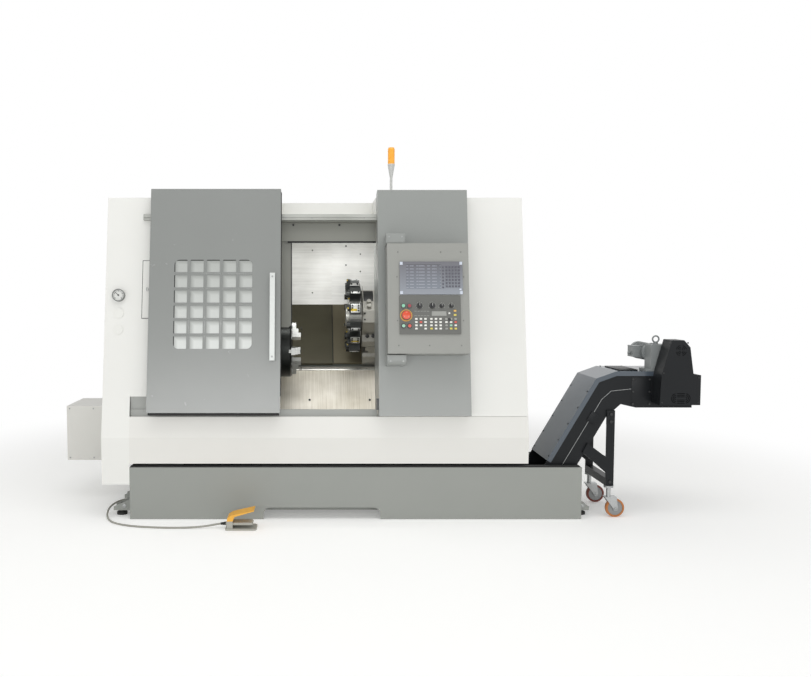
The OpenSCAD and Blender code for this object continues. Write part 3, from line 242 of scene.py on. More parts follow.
def socket_screw(mesh, place, radius, height):
    """A socket head screw: a round head with a softened rim and its hexagon sunk in."""
    made = bmesh.ops.create_cone(mesh, cap_ends=True, segments=12, radius1=radius / 1000, radius2=radius / 1000,
                                 depth=height / 1000, matrix=place @ Matrix.Translation((0, 0, height / 2000)))
    out = place.to_3x3() @ Vector((0, 0, 1))
    crown = max({f for v in made["verts"] for f in v.link_faces}, key=lambda f: f.calc_center_median().dot(out))
    for inset, depth in ((0.12, 0.12), (0.3, 0.0), (0.04, -0.55)):
        bmesh.ops.inset_region(mesh, faces=[crown], thickness=radius * inset / 1000, depth=0.0)
        bmesh.ops.translate(mesh, verts=crown.verts, vec=out * height * depth / 1000)


UP, FRONT, RIGHT = Vector((0, 0, 1)), Vector((0, -1, 0)), Vector((1, 0, 0))
rubber = moulded("black_moulded_rubber", "#161717", "#2a2a29", 0.7, 0.03)
sleeves = bmesh.new()
for point, way, length in ((cable_line[0], cable_line[1] - cable_line[0], 40),
                           (cable_line[-1], cable_line[-2] - cable_line[-1], 32)):
    way.normalize()
    for k in range(6):
        boss(sleeves, stand(point + way * length * k / 6000, way, UP), 11 - 0.6 * k, length / 6 - 1.5, 16, 0.8)
    boss(sleeves, stand(point, way, UP), 8.5, length, 16, 0.5, 6.8)
build("cable_sleeves", sleeves, rubber, "machine")


# Coolant tank: welded and folded 6 mm plate in satin grey enamel, standing on four screw
# feet. The brackets' bolts and their weld beads are here, and a black strip on the tank's rim
# that is painted shadow of the gap under the apron.
def dress(mat, *names):
    """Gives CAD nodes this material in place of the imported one."""
    for name in names:
        nodes[name].data.materials.clear()
        nodes[name].data.materials.append(mat)


def powder_coat(name, colour, shade, rough, specular=0.5):
    """Stoved powder coat on sheet: an even colour with slow drifts of tone, the faint
    ripple called orange peel, drawn 8 mm wide so that it shows, and dulled handling marks."""
    made, tree, shader, coords = surface(name, rough, 0.0, specular)
    drift = put(tree, "TexNoise", {}, {"Vector": coords, "Scale": 1 / 0.55, "Detail": 3.0, "Roughness": 0.6})
    tone = put(tree, "MixRGB", {}, {"Fac": drift.outputs["Fac"], "Color1": linear(colour), "Color2": linear(shade)})
    tree.links.new(tone.outputs[0], shader.inputs["Base Color"])
    marks = put(tree, "TexNoise", {}, {"Vector": coords, "Scale": 1 / 0.12, "Detail": 6.0, "Roughness": 0.7})
    gloss = put(tree, "MapRange", {}, {"Value": marks.outputs["Fac"], "To Min": rough - 0.02, "To Max": rough + 0.03})
    tree.links.new(gloss.outputs[0], shader.inputs["Roughness"])
    ripple = put(tree, "TexNoise", {}, {"Vector": coords, "Scale": 1 / 0.008, "Detail": 2.0})
    bump = put(tree, "Bump", {}, {"Height": ripple.outputs["Fac"], "Strength": 0.03, "Distance": 0.0004})
    tree.links.new(bump.outputs[0], shader.inputs["Normal"])
    return made


tank_enamel = powder_coat("grey_tank_enamel", "#91948f", "#979994", 0.42)
dress(tank_enamel, "coolant_tank")
zinc = moulded("zinc_plated_steel", "#b4b6b5", "#8f9190", 0.35, 0.01, metal=0.85)
tank_bolts = bmesh.new()
tank_welds = bmesh.new()
for near, side, reach in ((-1175, -1, 126), (1690, 1, 80)):
    for y in (88, 388):
        place = stand(at(near + side * reach * 0.45, y, 62), FRONT, UP)
        boss(tank_bolts, place, 13, 2.5, 20, 0.5)
        boss(tank_bolts, place, 9, 8, 6, 0.8)
    for y in (88, 172, 388, 472):
        for k in range(8):
            bmesh.ops.create_icosphere(tank_welds, subdivisions=1, radius=0.0045,
                                       matrix=Matrix.Translation(at(near, y, 44 + 8 * k)))
build("tank_bracket_bolts", tank_bolts, zinc, "machine")
build("tank_weld_beads", tank_welds, tank_enamel, "machine")
# A black strip on the tank's rim: painted shadow of the gap under the apron.
rim_shadow_strip = bmesh.new()
slab(rim_shadow_strip, stand(at(255, 23, 333), UP, RIGHT), (30, 2850, 9), 2)
build("tank_rim_shadow_strip", rim_shadow_strip, rubber, "machine")

# Screw feet: black moulded rubber pads on steel screws, under the tank and the bed, with
# a plated lock nut on each of the tank's four screws.
dress(rubber, "levelling_feet")
foot_nuts = bmesh.new()
for x in (-1255, 1724):
    for y in (130, 430):
        boss(foot_nuts, stand(at(x, y, 46), UP, RIGHT), 17, 9, 6, 1.2)
build("foot_lock_nuts", foot_nuts, zinc, "machine")

# Bed and headstock: grey iron castings, shot blasted, filled and enamelled, with the
# shallow pitting of sand casting left under the paint.
casting, tree, shader, coords = surface("enamelled_grey_iron", 0.5)
grain = put(tree, "TexNoise", {}, {"Vector": coords, "Scale": 1 / 0.012, "Detail": 6.0, "Roughness": 0.65})
tone = put(tree, "MixRGB", {}, {"Fac": grain.outputs["Fac"], "Color1": linear("#8f928d"), "Color2": linear("#a0a29d")})
tree.links.new(tone.outputs[0], shader.inputs["Base Color"])
pits = put(tree, "Bump", {}, {"Height": grain.outputs["Fac"], "Strength": 0.35, "Distance": 0.001})
tree.links.new(pits.outputs[0], shader.inputs["Normal"])
dress(casting, "slant_bed", "headstock")


# Enclosure: folded 3 mm steel sheet in white powder coat. The left front sheet carries on
# down as the pillar; the end sheets and the roof are fixed with button head screws.
LEAN, LEAN_FOOT = math.radians(10), 522
END, REAR, ROOF = 1350, 1750, 2055


def on_lean(x, v, w):
    """A place on the leaning front: x across, v up the lean, w behind its datum face."""
    c, s = math.cos(LEAN), math.sin(LEAN)
    return stand(at(x, w * c + v * s, LEAN_FOOT + v * c - w * s), (0, -c, s), (0, s, c))


white_coat = powder_coat("white_powder_coat", "#e7e7e3", "#e1e1dc", 0.36)
dress(white_coat, "left_front_panel", "right_front_panel", "side_panels", "rear_panel", "roof_panel",
      "electrical_cabinet", "cabinet_door")
sheet_screws = bmesh.new()
for side in (-1, 1):
    for y in (700, 1050, 1400, 1690):
        for z in (395, 1215, 2020):
            socket_screw(sheet_screws, stand(at(side * END, y, z), (side, 0, 0), UP), 7, 4)
for x in (-1300, -900, -500, -100, 300, 700, 1100, 1300):
    socket_screw(sheet_screws, stand(at(x, REAR - 30, ROOF), UP, RIGHT), 7, 4)
for x in (-1320, -1000, -680, -360, -40):
    for z in (395, 1215, 2020):
        socket_screw(sheet_screws, stand(at(x, REAR, z), -FRONT, UP), 7, 4)
build("enclosure_screws", sheet_screws, zinc, "machine")
roof_plugs = bmesh.new()
for x in (-1150, 1150):
    for y in (560, 1500):
        boss(roof_plugs, stand(at(x, y, ROOF), UP, RIGHT), 42, 5, 28, 1.5)
        boss(roof_plugs, stand(at(x, y, ROOF + 5), UP, RIGHT), 30, 2, 28, 0.8)
build("lifting_point_plugs", roof_plugs, moulded("white_moulding", "#e2e2dd", "#dadad5", 0.45), "machine")

# Hatch in the left front sheet: a flat powder coated flap on a rubber gasket, closed by a
# quarter-turn latch. The sliding door covers most of it.
hatch_latch = bmesh.new()
boss(hatch_latch, on_lean(-1084, 950, -4), 13, 4, 24, 1)
slab(hatch_latch, on_lean(-1084, 950, -8), (5, 20, 4), 1)
build("hatch_latch", hatch_latch, zinc, "machine")
hatch_gasket = bmesh.new()
slab(hatch_gasket, on_lean(-1112, 950, 0), (4, 380, 1.5), 0.4)
for v in (762, 1138):
    slab(hatch_gasket, on_lean(-850, v, 0), (520, 4, 1.5), 0.4)
build("hatch_gasket", hatch_gasket, rubber, "machine")

# Apron: the folded 3 mm sheet under the door, with a leaning upper band. Its powder coat is
# a warmer white than the enclosure's.
dress(powder_coat("warm_white_powder_coat", "#e3e2dd", "#dcdbd6", 0.36), "front_apron")

# Motor cover on the left end: a box of thin folded sheet in light grey powder coat, held by
# small screws round its edges. Hoods stand over the louvres pressed in its end.
COVER_END, COVER_FRONT = -1720, 500
box_coat = powder_coat("motor_box_powder_coat", "#d6d5d0", "#cccbc5", 0.4)
dress(box_coat, "motor_cover")
cover_screws = bmesh.new()
for x in (-1700, -1535, -1370):
    for z in (291, 633):
        socket_screw(cover_screws, stand(at(x, COVER_FRONT, z), FRONT, UP), 5, 3)
for y in (520, 700, 880):
    for z in (291, 633):
        socket_screw(cover_screws, stand(at(COVER_END, y, z), -RIGHT, UP), 5, 3)
build("motor_cover_screws", cover_screws, zinc, "machine")
louvres = bmesh.new()
for k in range(6):
    slab(louvres, stand(at(COVER_END, 700, 405 + 26 * k), Vector((-1, 0, 0.7)), UP), (224, 13, 2), 0.6)
build("motor_cover_louvres", louvres, box_coat, "machine")


# Chuck pressure gauge: a plated bezel round a pale dial with printed marks and a needle.
# Below it, under 1.36 m, are two white blanking plugs pressed into the sheet.
def turned(place, degrees, out):
    """A place turned about its own axis, then moved out by millimetres."""
    return place @ Matrix.Rotation(math.radians(degrees), 4, "Z") @ Matrix.Translation((0, out / 1000, 0))


GAUGE, DIAL_FACE = (-1262, 910), -18
gauge_steel, tree, shader, coords = surface("plated_bezel_and_plugs", 0.3)
height = put(tree, "SeparateXYZ", {}, {"Vector": coords})
upper = put(tree, "Math", {"operation": "GREATER_THAN"}, {0: height.outputs["Z"], 1: 1.36})
plating = put(tree, "TexNoise", {}, {"Vector": coords, "Scale": 1 / 0.01, "Detail": 3.0})
steel_tone = put(tree, "MixRGB", {}, {"Fac": plating.outputs["Fac"], "Color1": linear("#6c6e6c"),
                                      "Color2": linear("#8d8f8c")})
tone = put(tree, "MixRGB", {}, {"Fac": upper.outputs[0], "Color1": linear("#e3e3de"), "Color2": steel_tone.outputs[0]})
tree.links.new(tone.outputs[0], shader.inputs["Base Color"])
tree.links.new(upper.outputs[0], shader.inputs["Metallic"])
dress(gauge_steel, "pressure_gauge")
dial = bmesh.new()
boss(dial, on_lean(*GAUGE, DIAL_FACE), 34.5, 0.6, 40)
build("gauge_dial", dial, moulded("dial_enamel", "#d9dad6", "#cfd0cc", 0.3), "machine")
dial_marks = bmesh.new()
for k in range(21):
    mark = (1.6, 5, 0.3) if k % 5 else (3, 9, 0.3)
    slab(dial_marks, turned(on_lean(*GAUGE, DIAL_FACE - 0.6), 135 - 13.5 * k, 28), mark)
slab(dial_marks, turned(on_lean(*GAUGE, DIAL_FACE - 1.5), 48, 10), (2.4, 34, 0.8))
boss(dial_marks, on_lean(*GAUGE, DIAL_FACE - 0.6), 5, 2.4, 20, 0.6)
build("gauge_needle_and_marks", dial_marks, rubber, "machine")

# Header, jamb guard and rail: grey folded sheet round the opening. A bright drawn bar in
# front of it carries the door. A black wiper hangs under the header's edge, and another
# runs down the jamb guard's.
dress(powder_coat("header_powder_coat", "#84857d", "#7b7c75", 0.4), "header_beam", "jamb_guard")
black_oxide = moulded("black_oxide_steel", "#1c1d1d", "#2b2c2c", 0.4, 0.01)
header_screws = bmesh.new()
for x in (-142, 160):
    socket_screw(header_screws, on_lean(x, 1384, 40), 7, 5)
for z in (1260, 1490, 1720):
    socket_screw(header_screws, stand(at(-275, 300, z), FRONT, UP), 6, 4)
build("header_screws", header_screws, black_oxide, "machine")
header_wiper = bmesh.new()
slab(header_wiper, on_lean(110, 1271, 44), (578, 12, 6), 1)
slab(header_wiper, stand(at(-155, 300, 1502), FRONT, UP), (6, 540, 4), 1)
build("header_wiper", header_wiper, rubber, "machine")


def brushed(name, colour, shade, rough, grain, metal=1.0):
    """Brushed or ground steel: hairlines along one axis, drawn 2 to 5 mm apart so they
    show, that vary tone and gloss, and slow smears of coolant and handling."""
    made, tree, shader, coords = surface(name, rough, metal)
    lie = put(tree, "Mapping", {}, {"Vector": coords, "Scale": grain})
    lines = put(tree, "TexNoise", {}, {"Vector": lie.outputs[0], "Scale": 1.0, "Detail": 4.0, "Roughness": 0.6})
    smear = put(tree, "TexNoise", {}, {"Vector": coords, "Scale": 1 / 0.25, "Detail": 4.0})
    both = put(tree, "Math", {"operation": "ADD"}, {0: lines.outputs["Fac"], 1: smear.outputs["Fac"]})
    spread = put(tree, "MapRange", {}, {"Value": both.outputs[0], "From Min": 0.7, "From Max": 1.3})
    tone = put(tree, "MixRGB", {}, {"Fac": spread.outputs[0], "Color1": linear(shade), "Color2": linear(colour)})
    tree.links.new(tone.outputs[0], shader.inputs["Base Color"])
    gloss = put(tree, "MapRange", {}, {"Value": lines.outputs["Fac"], "To Min": rough - 0.08, "To Max": rough + 0.1})
    tree.links.new(gloss.outputs[0], shader.inputs["Roughness"])
    return made


bright = brushed("drawn_bright_steel", "#bcbdb8", "#9c9e98", 0.4, (2, 500, 500), 0.4)
dress(bright, "door_rail")
dress(powder_coat("sill_grey_powder_coat", "#a6a8a4", "#9b9d99", 0.4), "door_sill")
rail_bolts = bmesh.new()
for x in (-190, -20, 150, 320):
    socket_screw(rail_bolts, on_lean(x, 1416, -17), 5, 4)
build("rail_bolts", rail_bolts, zinc, "machine")

# Sliding door: a folded pan in satin grey with thirty square windows, on two hangers. A
# black rubber wiper along its foot is partly a real wiper and partly painted shadow of the gap
# above the apron; the black strip down its closing edge is painted shadow.
door_coat = powder_coat("door_powder_coat", "#7e817e", "#848784", 0.26, specular=0.9)
dress(door_coat, "door_panel")
# The pane is polycarbonate with a faint random frost; its colour carries painted shade. A
# real door's cells are deeper than the sheet: painted shade darker towards the pane's top, a
# grey painted shadow by each cell's top and left bars and a dark painted shadow line along the
# window's top and left, counted from its upper left corner, stand in for the shade of that depth.
WINDOW_LEFT, WINDOW_TOP, CELL_ACROSS, CELL_DOWN = -1.233, 1.6456, 0.103, 0.0965
pane, tree, shader, coords = surface("polycarbonate_painted_shade", 0.25)
frost = put(tree, "TexNoise", {}, {"Vector": coords, "Scale": 1 / 0.05, "Detail": 5.0})
lie = put(tree, "Mapping", {}, {"Vector": coords, "Location": (-WINDOW_LEFT, 0, WINDOW_TOP), "Scale": (1, 1, -1)})
place = put(tree, "SeparateXYZ", {}, {"Vector": lie.outputs[0]})
across = put(tree, "Math", {"operation": "MODULO"}, {0: place.outputs["X"], 1: CELL_ACROSS})
down = put(tree, "Math", {"operation": "MODULO"}, {0: place.outputs["Z"], 1: CELL_DOWN})
bar_gap = put(tree, "Math", {"operation": "MINIMUM"}, {0: across.outputs[0], 1: down.outputs[0]})
edge_gap = put(tree, "Math", {"operation": "MINIMUM"}, {0: place.outputs["X"], 1: place.outputs["Z"]})
painted_bar_shadow = put(tree, "MapRange", {}, {"Value": bar_gap.outputs[0], "From Max": 0.03, "To Min": 0.6, "To Max": 0.0})
painted_top_shade = put(tree, "MapRange", {}, {"Value": place.outputs["Z"], "From Max": 0.56})
painted_edge_shadow = put(tree, "Math", {"operation": "LESS_THAN"}, {0: edge_gap.outputs[0], 1: 0.006})
frosted_top_shade = put(tree, "MixRGB", {}, {"Fac": frost.outputs["Fac"], "Color1": linear("#a8aba7"), "Color2": linear("#b2b5b1")})
# Painted shade: the pane turns lighter downwards from its darker top.
clear = put(tree, "MixRGB", {}, {"Fac": painted_top_shade.outputs[0], "Color1": frosted_top_shade.outputs[0], "Color2": linear("#d6d9d6")})
shaded = put(tree, "MixRGB", {}, {"Fac": painted_bar_shadow.outputs[0], "Color1": clear.outputs[0], "Color2": linear("#7b7e7a")})
tone = put(tree, "MixRGB", {}, {"Fac": painted_edge_shadow.outputs[0], "Color1": shaded.outputs[0], "Color2": linear("#2f302e")})
tree.links.new(tone.outputs[0], shader.inputs["Base Color"])
dress(pane, "door_window")
# Black strips: the foot's wiper is partly painted shadow of the gap above the apron, and the closing edge's strip is
# painted shadow.
door_seals_and_shadow_strips = bmesh.new()
slab(door_seals_and_shadow_strips, on_lean(-635, 147, -42), (820, 15, 36), 3)
slab(door_seals_and_shadow_strips, on_lean(-216, 917, -42), (4, 1310, 30), 1)
build("door_seals_and_shadow_strips", door_seals_and_shadow_strips, rubber, "door")
window_beads = bmesh.new()
for i in range(1, 5):
    slab(window_beads, on_lean(-903 + 103 * i, 841, -88.6), (6, 568, 1.2), 0.4)
for j in range(1, 6):
    slab(window_beads, on_lean(-645.5, 547 + 98 * j, -88.6), (493, 5, 1.2), 0.4)
build("window_beads", window_beads, door_coat, "door")
dress(brushed("satin_handle_steel", "#d6d9d6", "#c8cbc8", 0.4, (500, 500, 4), 0.2), "door_handle")
handle_screws = bmesh.new()
for v in (504, 1010):
    socket_screw(handle_screws, on_lean(-268, v, -130.6), 6, 3)
build("handle_screws", handle_screws, zinc, "door")


# Operator column: a folded grey sheet with a deep jamb. The stop block at its foot is
# black rubber, picked out by its place left of the column's side.
def to_paint_over(mat):
    """A finished material's tree, shader, coordinates and present colour."""
    tree = mat.node_tree
    shader = tree.nodes["Principled BSDF"]
    coords = tree.nodes["Texture Coordinate"].outputs["Object"]
    return tree, shader, coords, shader.inputs["Base Color"].links[0].from_socket


column_coat = powder_coat("grey_powder_coat", "#8d908d", "#929592", 0.28)
tree, shader, coords, grey = to_paint_over(column_coat)
place = put(tree, "SeparateXYZ", {}, {"Vector": coords})
is_stop = put(tree, "Math", {"operation": "LESS_THAN"}, {0: place.outputs["X"], 1: 0.0598})
tone = put(tree, "MixRGB", {}, {"Fac": is_stop.outputs[0], "Color1": grey, "Color2": linear("#1b1c1c")})
tree.links.new(tone.outputs[0], shader.inputs["Base Color"])
dress(column_coat, "console_column")
column_screws = bmesh.new()
for v in (1244, 468):
    for x in (462, 540):
        socket_screw(column_screws, on_lean(x, v, -217), 5, 3)
build("hinge_block_screws", column_screws, zinc, "machine")

# Control box: a folded shell on two pins in front of the column, its face held by a ring
# of small countersunk screws.
dress(powder_coat("warm_grey_powder_coat", "#91928d", "#969792", 0.38), "control_box")
BOX_FACE = -232
face_screws = bmesh.new()
for x, v in ((512, 1144), (777, 1144), (901, 1144), (505, 988), (916, 988), (505, 716), (910, 716), (512, 563),
             (700, 563), (895, 563)):
    socket_screw(face_screws, on_lean(x, v, BOX_FACE), 4, 2)
build("control_box_screws", face_screws, moulded("dull_screw_steel", "#7d7e7b", "#6a6b68", 0.45, 0.01), "panel")

# Screen unit: a moulded bezel painted lighter towards its lower edge, a painted light, with a
# sunk screen, a column of soft keys and a block of small printed keys. Pale caps cover its corners.
SCREEN_FACE = -242
lcd_moulding, tree, shader, coords = surface("screen_bezel_moulding", 0.35)
place = put(tree, "SeparateXYZ", {}, {"Vector": coords})
painted_light_ramp = put(tree, "MapRange", {}, {"Value": place.outputs["Z"], "From Min": 1.43, "From Max": 1.63})
tone = put(tree, "MixRGB", {}, {"Fac": painted_light_ramp.outputs[0], "Color1": linear("#8f949c"), "Color2": linear("#6a6a70")})
tree.links.new(tone.outputs[0], shader.inputs["Base Color"])
dress(lcd_moulding, "lcd_unit")
screen_mesh = bmesh.new()
slab(screen_mesh, on_lean(668, 988, SCREEN_FACE + 3), (212, 148, 0.8))
screen_glass, tree, shader, coords = surface("screen_glass", 0.12)
lie = put(tree, "Mapping", {}, {"Vector": coords, "Location": (0, 0, -1.47)})
place = put(tree, "SeparateXYZ", {}, {"Vector": lie.outputs[0]})
# Rows of a switched-on page, 19 mm apart, with gaps where columns of figures stop.
rows = put(tree, "Math", {"operation": "PINGPONG"}, {0: place.outputs["Z"], 1: 0.0095})
row_line = put(tree, "Math", {"operation": "LESS_THAN"}, {0: rows.outputs[0], 1: 0.0016})
field = put(tree, "TexNoise", {"noise_dimensions": "1D"}, {"W": place.outputs["X"], "Scale": 30.0, "Detail": 2.0})
words = put(tree, "Math", {"operation": "GREATER_THAN"}, {0: field.outputs["Fac"], 1: 0.47})
shown = put(tree, "Math", {"operation": "MULTIPLY"}, {0: row_line.outputs[0], 1: words.outputs[0]})
# The screen's ground is painted lighter towards its lower edge: painted light, as on the bezel.
painted_light_ramp = put(tree, "MapRange", {}, {"Value": place.outputs["Z"], "From Min": 0.0, "From Max": 0.15})
back = put(tree, "MixRGB", {}, {"Fac": painted_light_ramp.outputs[0], "Color1": linear("#80868f"), "Color2": linear("#66666c")})
tone = put(tree, "MixRGB", {}, {"Fac": shown.outputs[0], "Color1": back.outputs[0], "Color2": linear("#a9acb6")})
tree.links.new(tone.outputs[0], shader.inputs["Base Color"])
build("screen_glass", screen_mesh, screen_glass, "panel")
screen_keys = bmesh.new()
for i in range(5):
    for j in range(7):
        slab(screen_keys, on_lean(808.5 + 19 * i, 926.5 + 20 * j, SCREEN_FACE - 2), (12, 12, 0.8), 0.3)
for j in range(7):
    slab(screen_keys, on_lean(787, 920 + 21 * j, SCREEN_FACE - 2), (10, 11, 0.8), 0.3)
build("screen_keys", screen_keys, moulded("grey_key_caps", "#4d4d57", "#5a5a64", 0.4, 0.01), "panel")
screen_caps = bmesh.new()
for x in (531, 898):
    for v in (888, 1071):
        slab(screen_caps, on_lean(x, v, SCREEN_FACE), (17, 19, 1.5), 0.5)
slab(screen_caps, on_lean(893, 908, SCREEN_FACE), (13, 10, 2.2), 0.5)
build("screen_corner_caps", screen_caps, moulded("pale_cap_moulding", "#ccd3de", "#c2c9d4", 0.35), "panel")


# Operator panel: a printed film over a plate, with white and coloured keys, a small
# number display, four rotary switches, lit buttons and a mushroom stop in a yellow ring.
def ring(mesh, place, outer, inner, height, soft):
    """A flat ring that stands on a place: its profile, chamfered by soft, spun once round."""
    outline = ((inner, 0), (outer, 0), (outer, height - soft), (outer - soft, height), (inner, height))
    verts = [mesh.verts.new(place @ Vector((r / 1000, 0, z / 1000))) for r, z in outline]
    edges = [mesh.edges.new((a, b)) for a, b in zip(verts, verts[1:] + verts[:1])]
    bmesh.ops.spin(mesh, geom=verts + edges, cent=place.translation, axis=place.to_3x3() @ Vector((0, 0, 1)),
                   angle=math.tau, steps=32, use_merge=True)


dress(powder_coat("grey_panel_film", "#5f605c", "#666763", 0.45), "operator_panel")
PANEL_FACE = -240
KNOBS = ((640, 806, 17), (718, 806, 17), (776, 806, 13), (835, 806, 13))
KEY_COLOURS = {"w": "#e6e6e0", "r": "#d4574a", "y": "#d9c95f", "g": "#9fcdb4", "d": "#9a9b96", "o": "#e3b45e"}
KEY_ROWS = ("w.wywwdyy", "wwwwwwdgw", "wrwwwwwwr", "wwwwwwddd")
key_meshes = {letter: bmesh.new() for letter in KEY_COLOURS}
for j, row in enumerate(KEY_ROWS):
    for n, letter in enumerate(row):
        if letter in KEY_COLOURS:
            key = on_lean(619.5 + 92 * (n // 3) + 28 * (n % 3), 665.5 + 20 * j, PANEL_FACE - 2)
            slab(key_meshes[letter], key, (15, 11, 1), 0.4)
for j, letter in enumerate("yo"):
    slab(key_meshes[letter], on_lean(857, 749.5 + 26 * j, PANEL_FACE - 2), (16, 11, 1), 0.4)
slab(key_meshes["d"], on_lean(760, 759, PANEL_FACE + 2), (90, 28, 0.8))
boss(key_meshes["g"], on_lean(541, 682, PANEL_FACE - 8), 10, 2, 24, 0.6)
boss(key_meshes["r"], on_lean(578, 682, PANEL_FACE - 8), 10, 2, 24, 0.6)
boss(key_meshes["w"], on_lean(822, 760, PANEL_FACE), 6, 5, 20, 1)
for letter, mesh in key_meshes.items():
    build("panel_keys_" + letter, mesh, moulded("key_cap_" + letter, KEY_COLOURS[letter], KEY_COLOURS[letter], 0.35),
          "panel")
panel_marks = bmesh.new()
for x, v, r in KNOBS:
    for k in range(9):
        slab(panel_marks, turned(on_lean(x, v, PANEL_FACE), 120 - 30 * k, r + 6), (1.4, 4, 0.2))
for i in range(5):
    for v in (745, 773):
        slab(panel_marks, on_lean(616 + 19 * i, v, PANEL_FACE), (14, 1.2, 0.2))
build("panel_marks", panel_marks, moulded("white_print", "#c9cac5", "#c9cac5", 0.5), "panel")
panel_rims = bmesh.new()
boss(panel_rims, on_lean(822, 722, PANEL_FACE), 9, 4, 24, 0.8)
slab(panel_rims, on_lean(822, 722, PANEL_FACE - 4), (3, 12, 10), 0.8)
for x, v in ((541, 806), (578, 806), (541, 682), (578, 682)):
    ring(panel_rims, on_lean(x, v, PANEL_FACE), 15.5, 10.6, 2, 0.6)
build("panel_bezels", panel_rims, moulded("black_bezel", "#232425", "#2d2e2f", 0.3), "panel")
STOP = (558, 747)
stop_ring = bmesh.new()
ring(stop_ring, on_lean(*STOP, PANEL_FACE), 37, 12.6, 1.2, 0.4)
build("stop_ring", stop_ring, moulded("yellow_ring", "#dfa63f", "#d89f3a", 0.4), "panel")
dress(moulded("red_mushroom", "#dc5536", "#d24d30", 0.3), "e_stop")
stop_marks = bmesh.new()
for k in range(3):
    slab(stop_marks, turned(on_lean(*STOP, PANEL_FACE - 24.2), 120 * k, 16), (10, 3, 0.4), 0.1)
build("stop_grip_marks", stop_marks, moulded("pale_red_print", "#e7a08c", "#e7a08c", 0.4), "e_stop")
dress(moulded("black_knob_moulding", "#191a1b", "#252627", 0.35), "knob_1", "knob_2", "knob_3", "knob_4")
knob_line = moulded("knob_pointer_print", "#d5d6d2", "#cfd0cc", 0.4)
for n, (x, v, r) in enumerate(KNOBS, 1):
    pointer = bmesh.new()
    slab(pointer, on_lean(x, v + r * 0.4, PANEL_FACE - 20), (2, r * 0.9, 0.5))
    build(f"knob_{n}_pointer", pointer, knob_line, f"knob_{n}")
dress(moulded("green_lens", "#8fcfb0", "#85c5a6", 0.25), "cycle_button")
dress(moulded("red_lens", "#a5474f", "#9a4149", 0.25), "hold_button")


# Work chamber sheets: brushed stainless guards, and way covers whose upright part is bright
# while the inclined part is painted dark, a painted reflection of the dark chamber. Screws hold each sheet.
SPINDLE_Y, SPINDLE_Z = 560, 1040


def on_slope(x, u, n):
    """A place on the slant bed: x along it, u up the slope, n out of it, from the spindle."""
    c = math.sqrt(0.5)
    return stand(at(x, SPINDLE_Y + (u - n) * c, SPINDLE_Z + (u + n) * c), (0, -c, c), (0, c, c))


def cover_with_painted_dark_slope(name, upright_colour, upright_tone, slope_colour, slope_tone):
    """Brushed stainless, bright above the fold at 1336 mm; below it the slope is painted dark, a painted reflection of
    the dark chamber.
    """
    made = brushed(name, upright_colour, upright_tone, 0.42, (3, 300, 60), 0.35)
    tree, shader, coords, steel = to_paint_over(made)
    place = put(tree, "SeparateXYZ", {}, {"Vector": coords})
    below = put(tree, "Math", {"operation": "LESS_THAN"}, {0: place.outputs["Z"], 1: 1.338})
    slope_patches = put(tree, "TexNoise", {}, {"Vector": coords, "Scale": 1 / 0.3, "Detail": 3.0})
    # The slope's dark colour, in soft patches, is a painted reflection of the dark chamber.
    painted_slope_reflection = put(tree, "MixRGB", {}, {"Fac": slope_patches.outputs["Fac"], "Color1": linear(slope_colour), "Color2": linear(slope_tone)})
    tone = put(tree, "MixRGB", {}, {"Fac": below.outputs[0], "Color1": steel, "Color2": painted_slope_reflection.outputs[0]})
    tree.links.new(tone.outputs[0], shader.inputs["Base Color"])
    return made


dress(cover_with_painted_dark_slope("fixed_way_covers", "#fafaf6", "#dadad5", "#5f5c4b", "#4c493b"), "way_covers")
dress(cover_with_painted_dark_slope("moving_way_covers", "#fafaf6", "#dededa", "#7d7763", "#6e6855"), "saddle_covers")
stainless = brushed("brushed_stainless", "#dddcd7", "#b3b2ac", 0.3, (60, 300, 3), 0.8)
dress(stainless, "end_guards")
dress(brushed("splashed_stainless", "#fffaee", "#c9c1ad", 0.42, (300, 3, 3), 0.2), "lower_guard")
guard_screws = bmesh.new()
for x in (-38, 390):
    for u in (-192, -289):
        socket_screw(guard_screws, on_slope(x, u, -330), 8, 4)
for x in (-240, -20):
    for z in (1430, 1760):
        socket_screw(guard_screws, stand(at(x, 1279.8, z), FRONT, UP), 6, 3)
build("guard_screws", guard_screws, black_oxide, "machine")
wing_screws = bmesh.new()
for x, z in ((242, 1794), (242, 1646), (355, 1731), (355, 1596)):
    socket_screw(wing_screws, stand(at(x, 1285.8, z), FRONT, UP), 6, 2)
build("saddle_cover_screws", wing_screws, black_oxide, "carriage")
foot_strip = bmesh.new()
slab(foot_strip, on_slope(495, 92, -330), (1570, 28, 5), 1)
build("lower_guard_strip", foot_strip, stainless, "machine")
cover_wiper = bmesh.new()
slab(cover_wiper, on_slope(133, 421, -300), (6, 590, 5), 1)
build("way_cover_wiper", cover_wiper, rubber, "machine")


# Spindle and chuck: a black-oxide chuck with ground hard jaws, each held on its master
# jaw by two socket screws.
def on_chuck(x, r, turn):
    """A place on the chuck's front: x along the axis, r out from it, turned by degrees."""
    a = math.radians(turn)
    return stand(at(x, SPINDLE_Y + r * math.cos(a), SPINDLE_Z + r * math.sin(a)), RIGHT, UP)


